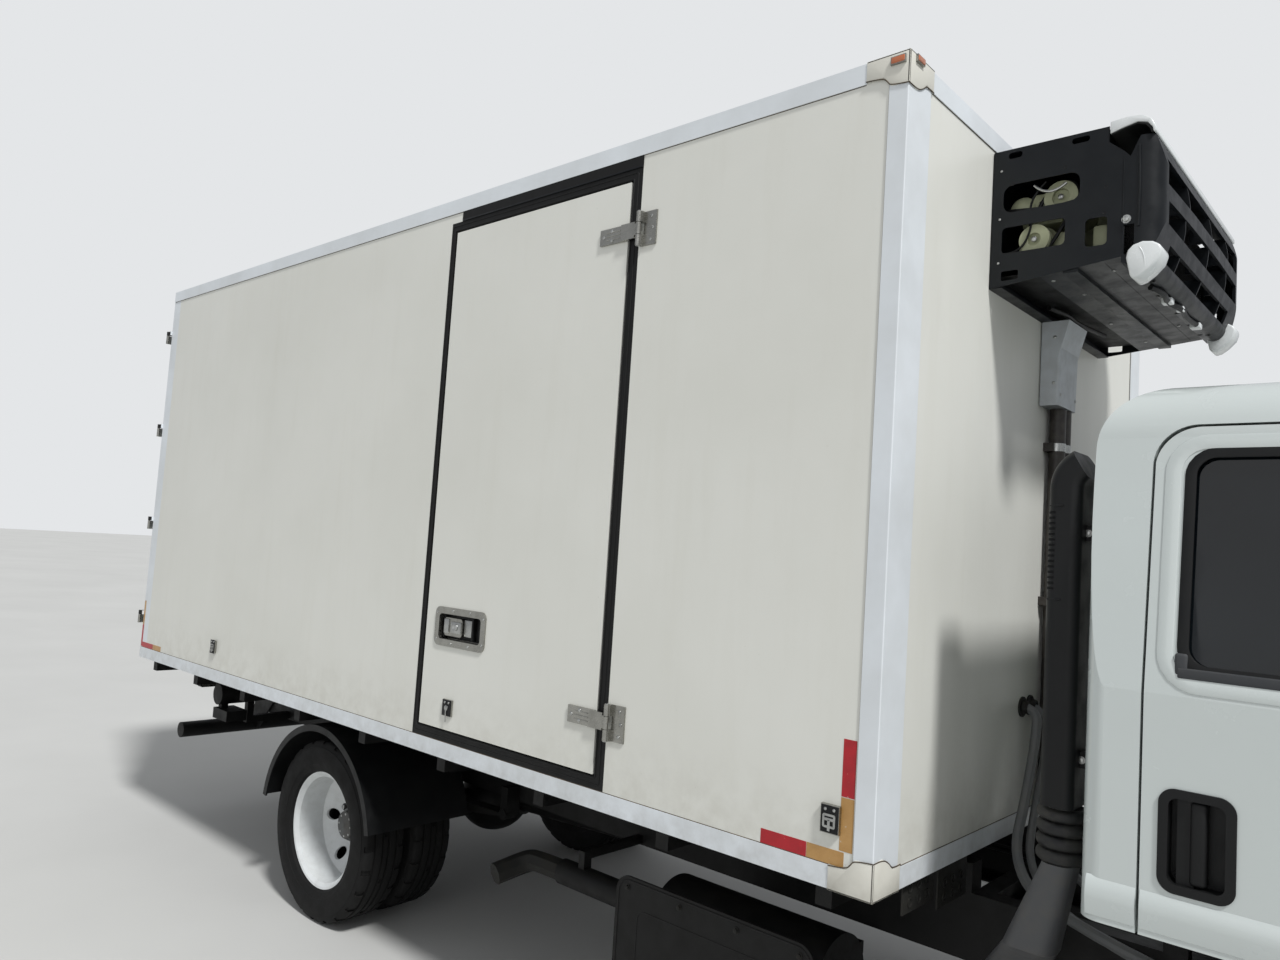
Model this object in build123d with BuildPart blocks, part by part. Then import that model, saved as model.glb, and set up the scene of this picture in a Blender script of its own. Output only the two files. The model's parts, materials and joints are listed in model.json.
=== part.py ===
from build123d import *
import math
import os

# Refrigerated truck with a low cab over the engine, an insulated body and a nose-mounted cooling unit.
# Frame: +X forward, +Y to the left, +Z up, origin on the ground below the centre of the whole vehicle.
# All sizes are in millimetres.

# Chassis
wheelbase = 3870
front_overhang = 1110
rear_overhang = 2084
tyre_radius = 405.5
tyre_width = 226
rim_radius = 260.5
rim_width = 166
front_track = 1664
rear_track = 1650
twin_spacing = 254
frame_width = 850
rail_height = 207
rail_flange = 70
rail_wall = 7
frame_top = 800
kingpin_spread = 1430
kingpin_radius = 20

# Insulated body
body_length = 4877
body_width = 2328
body_bottom = 955
body_top = 3195
body_wall = 76
front_wall = 80
floor_top = 1056
roof_depth = 96
rail_face = 60
skin_set_back = 4
post_side = 57
post_front = 136

# Side door, measured back from the front face of the body
side_door_front = 1010
side_door_rear = 1983
side_door_bottom = 1063
side_door_top = 3050
side_door_axis_ahead = 63
side_door_axis_out = 16
door_gap = 6
latch_gap = 11
seal_front = 44
seal_rear = 31
seal_low = 41.5
seal_high = 39

# Rear doors
portal_post = 60
portal_depth = 90
portal_head = 80
rear_hinge_out = 6
rear_hinge_back = 34
lock_rod = 9
lock_rod_back = 15
hinge_knuckle = 8
hinge_pin = 4.5

# Cooling unit
unit_width = 1134
unit_bottom = 2687
unit_top = 3125
unit_side_depth = 376
unit_depth = 487
unit_rise = 42
nose_low = 2698
nose_top = 3077.7
nose_bow = 8
nose_corner = 60
nose_wall = 10
cap_back = 336.8
cap_front = 461
cap_top = 3142

# Cab
cab_gap = 440
cab_back_to_axle = 577
cab_length = 1650
cab_half = 1020
cab_bottom = 860
cab_roof = 2312
cab_wall = 60
arch_radius = 620
panel_gap = 6
tilt_ahead = 1023
tilt_height = 830

# Places worked out from the sizes
truck_length = front_overhang + wheelbase + rear_overhang
front_x = truck_length / 2
front_axle_x = front_x - front_overhang
rear_axle_x = front_axle_x - wheelbase
cab_back_x = front_axle_x - cab_back_to_axle
cab_front_x = cab_back_x + cab_length
body_front_x = cab_back_x - cab_gap
body_rear_x = body_front_x - body_length
tilt_x = front_axle_x + tilt_ahead
body_half = body_width / 2
skin_half = body_half - skin_set_back
inner_half = skin_half - body_wall
wheel_z = tyre_radius
cab_sill = wheel_z + arch_radius
rail_bottom = frame_top - rail_height
rail_mid_y = frame_width / 2 - rail_flange / 2
sides = (("right", -1), ("left", 1))

os.makedirs("parts", exist_ok=True)


def save(piece, name):
    """Label a finished piece and write it as one STEP file."""
    piece.part.label = name
    export_step(piece.part, f"parts/{name}.step")


def block(low, high):
    """Add a box between two corners to the part under construction."""
    centre = [(a + b) / 2 for a, b in zip(low, high)]
    size = [b - a for a, b in zip(low, high)]
    with Locations(tuple(centre)):
        Box(*size)


def cut_block(low, high):
    """Cut a box between two corners out of the part under construction."""
    centre = [(a + b) / 2 for a, b in zip(low, high)]
    size = [b - a for a, b in zip(low, high)]
    with Locations(tuple(centre)):
        Box(*size, mode=Mode.SUBTRACT)


def rod_y(x, y_low, y_high, z, radius):
    """Add a round bar that lies across the vehicle."""
    with BuildSketch(Plane.XZ.offset(-y_low)) as end:
        with Locations((x, z)):
            Circle(radius)
    extrude(end.sketch, amount=-(y_high - y_low))


def rod_z(x, y, z_low, z_high, radius):
    """Add an upright round bar."""
    with BuildSketch(Plane.XY.offset(z_low)) as end:
        with Locations((x, y)):
            Circle(radius)
    extrude(end.sketch, amount=z_high - z_low)


def bore_z(x, y, z_low, z_high, radius):
    """Cut an upright round hole."""
    with BuildSketch(Plane.XY.offset(z_low)) as end:
        with Locations((x, y)):
            Circle(radius)
    extrude(end.sketch, amount=z_high - z_low, mode=Mode.SUBTRACT)


def rod_x(x_low, x_high, y, z, radius):
    """Add a round bar that lies along the vehicle."""
    with BuildSketch(Plane.YZ.offset(x_low)) as end:
        with Locations((y, z)):
            Circle(radius)
    extrude(end.sketch, amount=x_high - x_low)


# Frame rails: two pressed channels that open inwards
with BuildPart() as frame_rails:
    rail_rear_x = body_rear_x + 130
    rail_front_x = tilt_x - 20
    for name, side in sides:
        outer = frame_width / 2
        with BuildSketch(Plane.YZ.offset(rail_rear_x)):
            with BuildLine():
                Polyline(
                    (side * outer, rail_bottom),
                    (side * outer, frame_top),
                    (side * (outer - rail_flange), frame_top),
                    (side * (outer - rail_flange), frame_top - rail_wall),
                    (side * (outer - rail_wall), frame_top - rail_wall),
                    (side * (outer - rail_wall), rail_bottom + rail_wall),
                    (side * (outer - rail_flange), rail_bottom + rail_wall),
                    (side * (outer - rail_flange), rail_bottom),
                    close=True,
                )
            make_face()
        extrude(amount=rail_front_x - rail_rear_x)
save(frame_rails, "frame_rails")

# Cross members between the rails, the hoop that carries the back of the cab and the tube of the tilt hinge
cross_half = frame_width / 2 - rail_wall
cross_rows = (
    # x, depth along x, height
    (rail_rear_x + 60, 60, 150),
    (rear_axle_x - 900, 60, 130),
    (rear_axle_x - 330, 70, 130),
    (rear_axle_x + 420, 70, 130),
    (body_front_x - 1252, 60, 130),
    (front_axle_x - 1080, 60, 120),
)
hoop_x = cab_back_x + 95
hoop_half = frame_width / 2 + 45
hoop_top = cab_sill - 8
hoop_bar = 45
tilt_tube = 20
with BuildPart() as frame_crossmembers:
    for x, depth, height in cross_rows:
        mid = (frame_top + rail_bottom) / 2
        block((x - depth / 2, -cross_half, mid - height / 2), (x + depth / 2, cross_half, mid + height / 2))
        cut_block((x - depth / 2 + 7, -cross_half, mid - height / 2 + 7), (x + depth / 2, cross_half, mid + height / 2 - 7))
    with BuildSketch(Plane.YZ.offset(hoop_x - 30)):
        with BuildLine():
            Polyline(
                (-hoop_half, hoop_top - hoop_bar),
                (hoop_half, hoop_top - hoop_bar),
                (hoop_half, hoop_top - 20),
                (hoop_half - 20, hoop_top),
                (20 - hoop_half, hoop_top),
                (-hoop_half, hoop_top - 20),
                close=True,
            )
        make_face()
    extrude(amount=60)
    for name, side in sides:
        inner, outer = sorted((side * (hoop_half - hoop_bar), side * hoop_half))
        block((hoop_x - 30, inner, rail_bottom + 60), (hoop_x + 30, outer, hoop_top - hoop_bar - 0.3))
        block((tilt_x - 60, side * 400 - 15, frame_top), (tilt_x - 10, side * 400 + 15, tilt_height + tilt_tube))
        block((tilt_x - 19.5, side * 400 - 15, frame_top - 60), (tilt_x + 20, side * 400 + 15, tilt_height + tilt_tube))
    rod_y(tilt_x, -470, 470, tilt_height, tilt_tube)
save(frame_crossmembers, "frame_crossmembers")

# Front axle: an I-beam with a dropped middle that ends in the kingpin eyes
beam_end = kingpin_spread / 2 - 45
with BuildPart() as front_axle:
    with BuildSketch(Plane.XZ.offset(beam_end)):
        with Locations((front_axle_x, 372)):
            Rectangle(92, 84)
        with Locations((front_axle_x + 34, 372), (front_axle_x - 34, 372)):
            Rectangle(46, 44, mode=Mode.SUBTRACT)
    extrude(amount=-2 * beam_end)
    for name, side in sides:
        rod_z(front_axle_x, side * kingpin_spread / 2, 350, 460, 46)
        block(
            (front_axle_x - 46, min(side * (beam_end - 60), side * (beam_end + 20)), 350),
            (front_axle_x + 46, max(side * (beam_end - 60), side * (beam_end + 20)), 430),
        )
        with BuildSketch(Plane.XY.offset(340)):
            with Locations((front_axle_x, side * kingpin_spread / 2)):
                Circle(kingpin_radius + 0.5)
        extrude(amount=130, mode=Mode.SUBTRACT)
save(front_axle, "front_axle")

# Leaf springs: four arched packs with an eye and a hanger at each end and a clamp over the axle
spring_rows = (
    # axle x, half length, side offset, seat height, sag of the arch, pack depth, clamp bottom, hanger inner side, hanger top
    (front_axle_x, 600, 390, 422, 112, 34, 414.3, 360, rail_bottom - 0.5),
    (rear_axle_x, 650, 470, 473, 62, 56, 469.8, frame_width / 2 + 0.3, rail_bottom + 70),
)
with BuildPart() as leaf_springs:
    for axle_x, half_length, offset_y, seat, sag, depth, clamp_low, hanger_in, hanger_top in spring_rows:
        for name, side in sides:
            with BuildSketch(Plane.XZ.offset(-(side * offset_y - 35))):
                with BuildLine():
                    ThreePointArc(
                        (axle_x - half_length, seat + sag),
                        (axle_x, seat),
                        (axle_x + half_length, seat + sag),
                    )
                    Line((axle_x + half_length, seat + sag), (axle_x + half_length, seat + sag + 12))
                    ThreePointArc(
                        (axle_x + half_length, seat + sag + 12),
                        (axle_x, seat + depth),
                        (axle_x - half_length, seat + sag + 12),
                    )
                    Line((axle_x - half_length, seat + sag + 12), (axle_x - half_length, seat + sag))
                make_face()
            extrude(amount=-70)
            for end in (-1, 1):
                eye_x = axle_x + end * half_length
                rod_y(eye_x, side * offset_y - 35, side * offset_y + 35, seat + sag + 6, 24)
                hanger_low_y, hanger_high_y = sorted((side * hanger_in, side * (offset_y + 30)))
                block((eye_x - 22, hanger_low_y, seat + sag + 6), (eye_x + 22, hanger_high_y, hanger_top))
            block((axle_x - 60, side * offset_y - 42, clamp_low), (axle_x + 60, side * offset_y + 42, seat + depth + 16))
save(leaf_springs, "leaf_springs")

# Rear axle: tapered housing with the round differential, and the propeller shaft with its middle bearing
hub_inner = rear_track / 2 - 210
with BuildPart() as rear_axle:
    with BuildSketch(Plane.XY.offset(wheel_z)):
        with BuildLine():
            Polyline(
                (rear_axle_x, -hub_inner),
                (rear_axle_x + 62, -hub_inner),
                (rear_axle_x + 66, -190),
            )
            ThreePointArc(
                (rear_axle_x + 66, -190),
                (rear_axle_x + 175, 0),
                (rear_axle_x + 66, 190),
            )
            Polyline(
                (rear_axle_x + 66, 190),
                (rear_axle_x + 62, hub_inner),
                (rear_axle_x, hub_inner),
                (rear_axle_x, -hub_inner),
            )
        make_face()
    revolve(axis=Axis((rear_axle_x, 0, wheel_z), (0, 1, 0)), revolution_arc=360)
    rod_y(rear_axle_x, -hub_inner - 145, hub_inner + 145, wheel_z, 44.5)
    rod_x(rear_axle_x + 150, rear_axle_x + 250, 0, wheel_z + 20, 62)
    shaft_from = Vector(rear_axle_x + 245, 0, wheel_z + 20)
    shaft_to = Vector(front_axle_x - 960, 0, 560)
    shaft_run = shaft_to - shaft_from
    with BuildSketch(Plane(origin=shaft_from, z_dir=shaft_run)):
        Circle(45)
    extrude(amount=shaft_run.length)
    with BuildSketch(Plane(origin=shaft_from + shaft_run * 0.5, z_dir=shaft_run)):
        Circle(70)
    extrude(amount=60)
    bearing_x = shaft_from.X + shaft_run.X / 2
    block((bearing_x, -150, 552), (bearing_x + 50, 150, 631))
save(rear_axle, "rear_axle")

# Engine with its gearbox and the radiator ahead of it
with BuildPart() as engine_block:
    block((front_axle_x - 360, -260, 470), (front_axle_x + 200, 260, 970))
    block((front_axle_x + 200, -260, 470), (front_axle_x + 420, 260, 840))
    block((front_axle_x - 180, -190, 430), (front_axle_x + 330, 190, 470))
    with BuildSketch(Plane.YZ.offset(front_axle_x - 950)):
        with Locations((0, 560)):
            Circle(110)
    with BuildSketch(Plane.YZ.offset(front_axle_x - 360.3)):
        with Locations((0, 640)):
            Circle(200)
    loft()
    block((front_axle_x + 560, -330, 440), (front_axle_x + 640, 330, 846))
    mount_z = rail_bottom + rail_wall + 0.3
    for x, reach in ((front_axle_x - 240, 250), (front_axle_x + 560, 320)):
        for name, side in sides:
            low, high = sorted((side * reach, side * 405))
            block((x, low, mount_z), (x + 60, high, mount_z + 45))
save(engine_block, "engine_block")

# Fuel tank on the left, with rounded edges and two straps
tank_front_x = body_front_x - 300
with BuildPart() as fuel_tank:
    with BuildSketch(Plane.YZ.offset(tank_front_x - 700)):
        with Locations((730, 545)):
            RectangleRounded(440, 400, 50)
    extrude(amount=700)
    for x in (tank_front_x - 590, tank_front_x - 150):
        with BuildSketch(Plane.YZ.offset(x)):
            with Locations((730, 545)):
                RectangleRounded(452, 412, 56)
        extrude(amount=45)
        block((x, frame_width / 2, 620), (x + 45, 520, 690))
    with BuildSketch(Plane.XZ.offset(-945)):
        with Locations((tank_front_x - 350, 660)):
            Circle(52)
    extrude(amount=-28)
save(fuel_tank, "fuel_tank")

# Exhaust box on the right behind its flat cover plate, and the battery box on the left
plate_rear_x = body_front_x - 1019
plate_front_x = body_front_x - 250
plate_top = 716
with BuildPart() as exhaust_box:
    with BuildSketch(Plane.XZ.offset(990)):
        with Locations(((plate_rear_x + plate_front_x) / 2, (plate_top + 290) / 2)):
            RectangleRounded(plate_front_x - plate_rear_x, plate_top - 290, 55)
    extrude(amount=8)
    with BuildSketch(Plane.YZ.offset(plate_rear_x + 60)):
        with Locations((-740, 520)):
            Circle(150)
    extrude(amount=plate_front_x - plate_rear_x - 120)
    for x in (plate_rear_x + 150, plate_front_x - 200):
        block((x, -990, 500), (x + 50, -frame_width / 2, 540))
    for x, top in ((plate_rear_x + 120, 690), (plate_front_x - 160, 690)):
        block((x, -992, 600), (x + 60, -860, 606))
    rod_x(plate_rear_x - 520, plate_rear_x + 62, -740, 520, 48)
    block((plate_rear_x - 420, -740, 600), (plate_rear_x - 390, -frame_width / 2, 630))
    block((plate_rear_x - 420, -760, 520), (plate_rear_x - 390, -720, 630))
save(exhaust_box, "exhaust_box")

battery_front_x = body_front_x + 60
with BuildPart() as battery_box:
    block((battery_front_x - 300, 520, 470), (battery_front_x, 960, 760))
    fillet(battery_box.edges().filter_by(Axis.Z), 25)
    block((battery_front_x - 320, frame_width / 2 + 0.3, 440), (battery_front_x + 20, 970, 469.7))
    block((battery_front_x - 320, frame_width / 2 + 0.3, 440), (battery_front_x + 20, frame_width / 2 + 12, 700))
save(battery_box, "battery_box")

# Mudguards: bent sheet arches over the front and rear wheels
guard_rows = (
    # axle x, radius, sheet, inner y, outer y, first angle, last angle
    (front_axle_x, 512, 6, 500, 1000, 25, 175),
    (rear_axle_x, 474, 8, 560, 1085, 12, 172),
)
with BuildPart() as mudguards:
    for axle_x, radius, sheet, inner, outer, start, stop in guard_rows:
        for name, side in sides:
            low = min(side * inner, side * outer)
            with BuildSketch(Plane.XZ.offset(-low)):
                with BuildLine():
                    CenterArc((axle_x, wheel_z), radius, start, stop - start)
                    CenterArc((axle_x, wheel_z), radius + sheet, start, stop - start)
                    for angle in (start, stop):
                        turn = math.radians(angle)
                        Line(
                            (axle_x + radius * math.cos(turn), wheel_z + radius * math.sin(turn)),
                            (axle_x + (radius + sheet) * math.cos(turn), wheel_z + (radius + sheet) * math.sin(turn)),
                        )
                make_face()
            extrude(amount=-(outer - inner))
            lip = min(side * (outer - 1), side * (outer + 7))
            with BuildSketch(Plane.XZ.offset(-lip)):
                with BuildLine():
                    CenterArc((axle_x, wheel_z), radius - 22, start, stop - start)
                    CenterArc((axle_x, wheel_z), radius + sheet, start, stop - start)
                    for angle in (start, stop):
                        turn = math.radians(angle)
                        Line(
                            (axle_x + (radius - 22) * math.cos(turn), wheel_z + (radius - 22) * math.sin(turn)),
                            (axle_x + (radius + sheet) * math.cos(turn), wheel_z + (radius + sheet) * math.sin(turn)),
                        )
                make_face()
            extrude(amount=-8)
    for name, side in sides:
        for x, z_low in ((front_axle_x - 380, 740), (rear_axle_x + 380, 690), (rear_axle_x - 380, 690)):
            inner = 500 if x > 0 else 560
            block(
                (x - 15, min(side * frame_width / 2, side * (inner + 60)), z_low),
                (x + 15, max(side * frame_width / 2, side * (inner + 60)), z_low + 30),
            )
save(mudguards, "mudguards")

# Front bumper: a curved beam with fog lamp recesses and the entry steps behind its ends
bumper_low = 420
bumper_high = 772
bumper_half = 1015
bumper_bow = 40
bumper_back = tilt_x + 25
wrap_back = tilt_x - 130
step_front = tilt_x - 132
with BuildPart() as front_bumper:
    with BuildSketch(Plane.XY.offset(bumper_low)):
        with BuildLine():
            ThreePointArc((front_x - bumper_bow, -bumper_half + 70), (front_x, 0), (front_x - bumper_bow, bumper_half - 70))
            for side in (-1, 1):
                ThreePointArc(
                    (front_x - bumper_bow, side * (bumper_half - 70)),
                    (front_x - bumper_bow - 22, side * (bumper_half - 20)),
                    (front_x - bumper_bow - 80, side * bumper_half),
                )
                Polyline(
                    (front_x - bumper_bow - 80, side * bumper_half),
                    (wrap_back, side * bumper_half),
                    (wrap_back, side * (bumper_half - 40)),
                    (bumper_back - 60, side * (bumper_half - 40)),
                    (bumper_back, side * (bumper_half - 130)),
                )
            Line((bumper_back, -bumper_half + 130), (bumper_back, bumper_half - 130))
        make_face()
    extrude(amount=bumper_high - bumper_low)
    with BuildSketch(Plane.YZ.offset(front_x - 25)):
        with Locations((0, 600)):
            RectangleRounded(900, 110, 30)
    extrude(amount=60, mode=Mode.SUBTRACT)
    with BuildSketch(Plane.YZ.offset(front_x - 36)):
        with Locations((-760, 600), (760, 600)):
            Circle(62)
    extrude(amount=60, mode=Mode.SUBTRACT)
    for name, side in sides:
        step_out = side * (bumper_half - 10)
        step_in = side * 690
        block((step_front - 300, min(step_out, step_in), 470), (step_front, max(step_out, step_in), 640))
        cut_block(
            (step_front - 260, min(step_out, side * 760) - 2, 520),
            (step_front - 40, max(step_out, side * 760) + 2, 600),
        )
        bracket_in = side * (frame_width / 2 + 1)
        block((step_front - 60, min(bracket_in, step_in), 610), (step_front - 20, max(bracket_in, step_in), 640))
        block((tilt_x - 20, side * 400 - 20, 640), (bumper_back, side * 400 + 20, 720))
        block((wrap_back - 2, min(side * 976, side * 1004), 480), (wrap_back, max(side * 976, side * 1004), 630))
save(front_bumper, "front_bumper")

# Underride guard: a round tube on two plates, with a round canister and a lamp block beside it
guard_x = body_rear_x + 60
guard_z = 500
with BuildPart() as underride_guard:
    rod_y(guard_x, -900, 900, guard_z, 46)
    for name, side in sides:
        plate_low_y = min(side * (frame_width / 2 + 0.3), side * (frame_width / 2 + 12.3))
        with BuildSketch(Plane.XZ.offset(-plate_low_y)):
            with BuildLine():
                Polyline(
                    (guard_x - 40, guard_z),
                    (guard_x + 60, body_bottom - 67),
                    (guard_x + 300, body_bottom - 67),
                    (guard_x + 300, frame_top - 60),
                    (guard_x + 60, guard_z - 30),
                    close=True,
                )
            make_face()
        extrude(amount=-12)
    rod_y(guard_x + 420, -880, -640, 780, 60)
    block((guard_x + 380, -880, 640), (guard_x + 560, -760, 700))
    block((guard_x + 400, -700, 600), (guard_x + 440, -660, 780))
    block((guard_x + 400, -860, 690), (guard_x + 440, -820, 780))
    block((guard_x + 400, -700, 600), (guard_x + 440, -frame_width / 2 - 0.3, 640))
save(underride_guard, "underride_guard")

# Sub-frame of the body: two long sills on the rails and cross bearers under the floor
sill_width = 76
bearer_low = 890
with BuildPart() as body_subframe:
    for name, side in sides:
        y = side * (frame_width / 2 - sill_width / 2)
        block((body_rear_x + 100, y - sill_width / 2, frame_top), (body_front_x - 40, y + sill_width / 2, bearer_low - 0.3))
    bearer_rows = 9
    for row in range(bearer_rows):
        x = body_rear_x + 160 + row * (body_length - 320) / (bearer_rows - 1)
        block((x - 25, -body_half + 40, bearer_low), (x + 25, body_half - 40, body_bottom))
save(body_subframe, "body_subframe")

# Floor, roof and walls of the insulated body
wall_rear_x = body_rear_x + portal_depth
skin_front_x = body_front_x - skin_set_back
skin_bottom = body_bottom + skin_set_back
skin_top = body_top - skin_set_back
wall_front_x = skin_front_x - front_wall
roof_bottom = body_top - roof_depth
with BuildPart() as body_floor:
    block((wall_rear_x, -inner_half, body_bottom), (wall_front_x, inner_half, floor_top))
save(body_floor, "body_floor")

with BuildPart() as body_roof:
    block((wall_rear_x, -inner_half, roof_bottom), (wall_front_x, inner_half, skin_top))
save(body_roof, "body_roof")

with BuildPart() as body_front_wall:
    block((wall_front_x, -skin_half, skin_bottom), (skin_front_x, skin_half, skin_top))
save(body_front_wall, "body_front_wall")

with BuildPart() as body_left_wall:
    block((wall_rear_x, inner_half, skin_bottom), (wall_front_x, skin_half, skin_top))
save(body_left_wall, "body_left_wall")

door_front_x = body_front_x - side_door_front
door_rear_x = body_front_x - side_door_rear
hole_front_x = door_front_x + door_gap + seal_front
hole_rear_x = door_rear_x - latch_gap - seal_rear
hole_low = side_door_bottom - door_gap - seal_low
hole_high = side_door_top + door_gap + seal_high
with BuildPart() as body_right_wall:
    block((wall_rear_x, -skin_half, skin_bottom), (wall_front_x, -inner_half, skin_top))
    cut_block((hole_rear_x, -skin_half - 1, hole_low), (hole_front_x, -inner_half + 1, hole_high))
save(body_right_wall, "body_right_wall")

# Doorway: the black surround in the right wall with the dark header plate above it
header_top = body_top - rail_face
with BuildPart() as body_doorway:
    block((hole_rear_x, -skin_half, hole_low), (hole_front_x, -inner_half, hole_high))
    cut_block(
        (door_rear_x - latch_gap, -skin_half - 4, side_door_bottom - door_gap),
        (door_front_x + door_gap, -inner_half + 1, side_door_top + door_gap),
    )
    block((door_rear_x + 27, -skin_half - 3, hole_high), (hole_front_x, -skin_half, header_top))
save(body_doorway, "body_doorway")

# Edge rails and corner posts: thin white angle sections over the edges of the panels
with BuildPart() as body_rails:
    rail_end = 128
    for name, side in sides:
        outer = side * body_half
        skin = side * skin_half
        for z_low, z_high, leg_low, leg_high in (
            (body_top - rail_face, body_top, skin_top, body_top),
            (body_bottom, body_bottom + rail_face, body_bottom, body_bottom + skin_set_back),
        ):
            block(
                (body_rear_x + 4, min(outer, skin), z_low),
                (body_front_x - rail_end, max(outer, skin), z_high),
            )
            leg = side * (body_half - rail_face)
            if z_low > wall_rear_x:
                block((wall_rear_x, min(outer, leg), leg_low), (body_front_x - rail_end, max(outer, leg), leg_high))
        post = side * (body_half - post_front)
        block((body_front_x - post_side, min(outer, skin), body_bottom + 62), (body_front_x, max(outer, skin), body_top - 62))
        block((skin_front_x, min(outer, post), body_bottom + 62), (body_front_x, max(outer, post), body_top - 62))
    post = body_half - 150
    block((skin_front_x, -post, body_top - rail_face), (body_front_x, post, body_top))
    block((body_front_x - rail_face, -post, skin_top), (body_front_x, post, body_top))
    block((skin_front_x, -post, body_bottom), (body_front_x, post, body_bottom + rail_face - 2))
    edges = body_rails.edges().filter_by(Axis.Z).filter_by(
        lambda edge: edge.length > 1500 and abs(edge.center().X - body_front_x) < 0.1 and abs(abs(edge.center().Y) - body_half) < 0.1
    )
    fillet(edges, 3)
save(body_rails, "body_rails")

# Corner caps: moulded covers over the four front corners
with BuildPart() as body_corner_caps:
    for name, side in sides:
        for top in (True, False):
            z_low = body_top - 62 if top else body_bottom - 3
            z_high = body_top + 3 if top else body_bottom + 62
            y_out = side * (body_half + 3)
            y_in = side * (body_half - 150)
            block(
                (body_front_x - 128, min(y_out, side * skin_half), z_low),
                (body_front_x + 3, max(y_out, side * skin_half), z_high),
            )
            block(
                (skin_front_x, min(y_out, y_in), z_low),
                (body_front_x + 3, max(y_out, y_in), z_high),
            )
            if top:
                block((body_front_x - 128, min(y_out, y_in), skin_top), (body_front_x + 3, max(y_out, y_in), z_high))
    edges = body_corner_caps.edges().filter_by(Axis.Z).filter_by(
        lambda edge: abs(edge.center().X - body_front_x - 3) < 0.1 and abs(abs(edge.center().Y) - body_half - 3) < 0.1
    )
    fillet(edges, 6)
save(body_corner_caps, "body_corner_caps")

# Rear door frame: posts, header and sill of folded steel with dock bumpers
opening_half = body_half - portal_post
opening_low = floor_top + 2
opening_high = body_top - portal_head
rear_axis_x = body_rear_x - rear_hinge_back
rear_axis_y = body_half + rear_hinge_out
rear_hinge_rows = (1180, 1750, 2320, 2900)
with BuildPart() as rear_portal:
    block((body_rear_x, -skin_half, skin_bottom), (wall_rear_x, skin_half, skin_top))
    cut_block((body_rear_x - 1, -opening_half, opening_low), (wall_rear_x + 1, opening_half, opening_high))
    for name, side in sides:
        y = side * 900
        block((-front_x, y - 60, 870), (body_rear_x, y + 60, body_bottom + 70))
        block((body_rear_x, y - 60, 870), (body_rear_x + 20, y + 60, skin_bottom))
        for z in rear_hinge_rows:
            block(
                (rear_axis_x, min(side * (skin_half - 8), side * rear_axis_y), z + 27),
                (body_rear_x + 1, max(side * (skin_half - 8), side * rear_axis_y), z + 50),
            )
            rod_z(rear_axis_x, side * rear_axis_y, z + 27, z + 50, hinge_knuckle)
            rod_z(rear_axis_x, side * rear_axis_y, z - 25, z + 28, hinge_pin)
save(rear_portal, "rear_portal")

# Fittings of the body: door holdbacks, wall leaves of the side door's hinges, marker lamps and tail lamps
holdback_z = 1134
holdback_rows = (
    # x, width, height
    (body_front_x - 126, 56, 74),
    (body_rear_x + 1009, 44, 66),
)
side_axis_x = door_front_x + side_door_axis_ahead
side_axis_y = -(body_half + side_door_axis_out)
strap_rows = (2872, 1242)
with BuildPart() as body_fittings:
    for name, side in sides:
        for x, width, height in holdback_rows:
            block(
                (x - width / 2, min(side * skin_half, side * (skin_half + 12)), holdback_z - height / 2),
                (x + width / 2, max(side * skin_half, side * (skin_half + 12)), holdback_z + height / 2),
            )
        cap_face = body_half + 3
        block(
            (body_front_x - 52, min(side * cap_face, side * (cap_face + 7)), 3162),
            (body_front_x - 8, max(side * cap_face, side * (cap_face + 7)), 3184),
        )
        block((body_front_x + 3, side * 1114 - 22, 3174), (body_front_x + 10, side * 1114 + 22, 3194))
        block((body_rear_x + 40, side * 700 - 110, 760), (body_rear_x + 90, side * 700 + 110, 860))
        block((body_rear_x + 60, side * 700 - 20, 860), (body_rear_x + 90, side * 700 + 20, body_bottom))
    for z in strap_rows:
        block((side_axis_x + 12, -skin_half - 6, z - 58), (side_axis_x + 66, -skin_half, z + 58))
        for z_low, z_high in ((z - 58, z - 22), (z + 22, z + 58)):
            block((side_axis_x, side_axis_y, z_low), (side_axis_x + 14, -skin_half, z_high))
            rod_z(side_axis_x, side_axis_y, z_low, z_high, hinge_knuckle + 1)
        rod_z(side_axis_x, side_axis_y, z - 23, z + 23, hinge_pin)
save(body_fittings, "body_fittings")

# Cooling unit housing: black sheet sides with cut-outs, a back frame, a top sheet and a floor pan that rises forwards
unit_half = unit_width / 2
sheet = 4
unit_front_x = body_front_x + unit_side_depth
pan_back = 150
cutout_rows = (
    # centre x from the body, centre z, width, height, corner radius
    (146, 2966, 226, 88, 30),
    (126, 2834, 188, 82, 14),
    (307, 2815, 60, 84, 12),
    (66, 3104, 42, 20, 9),
    (258, 3104, 50, 18, 8),
    (60, 2722, 52, 30, 5),
)


def pan_height(x_from_body):
    """Height of the unit's lower edge at a distance from the body."""
    return unit_bottom + unit_rise * x_from_body / unit_side_depth


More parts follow.
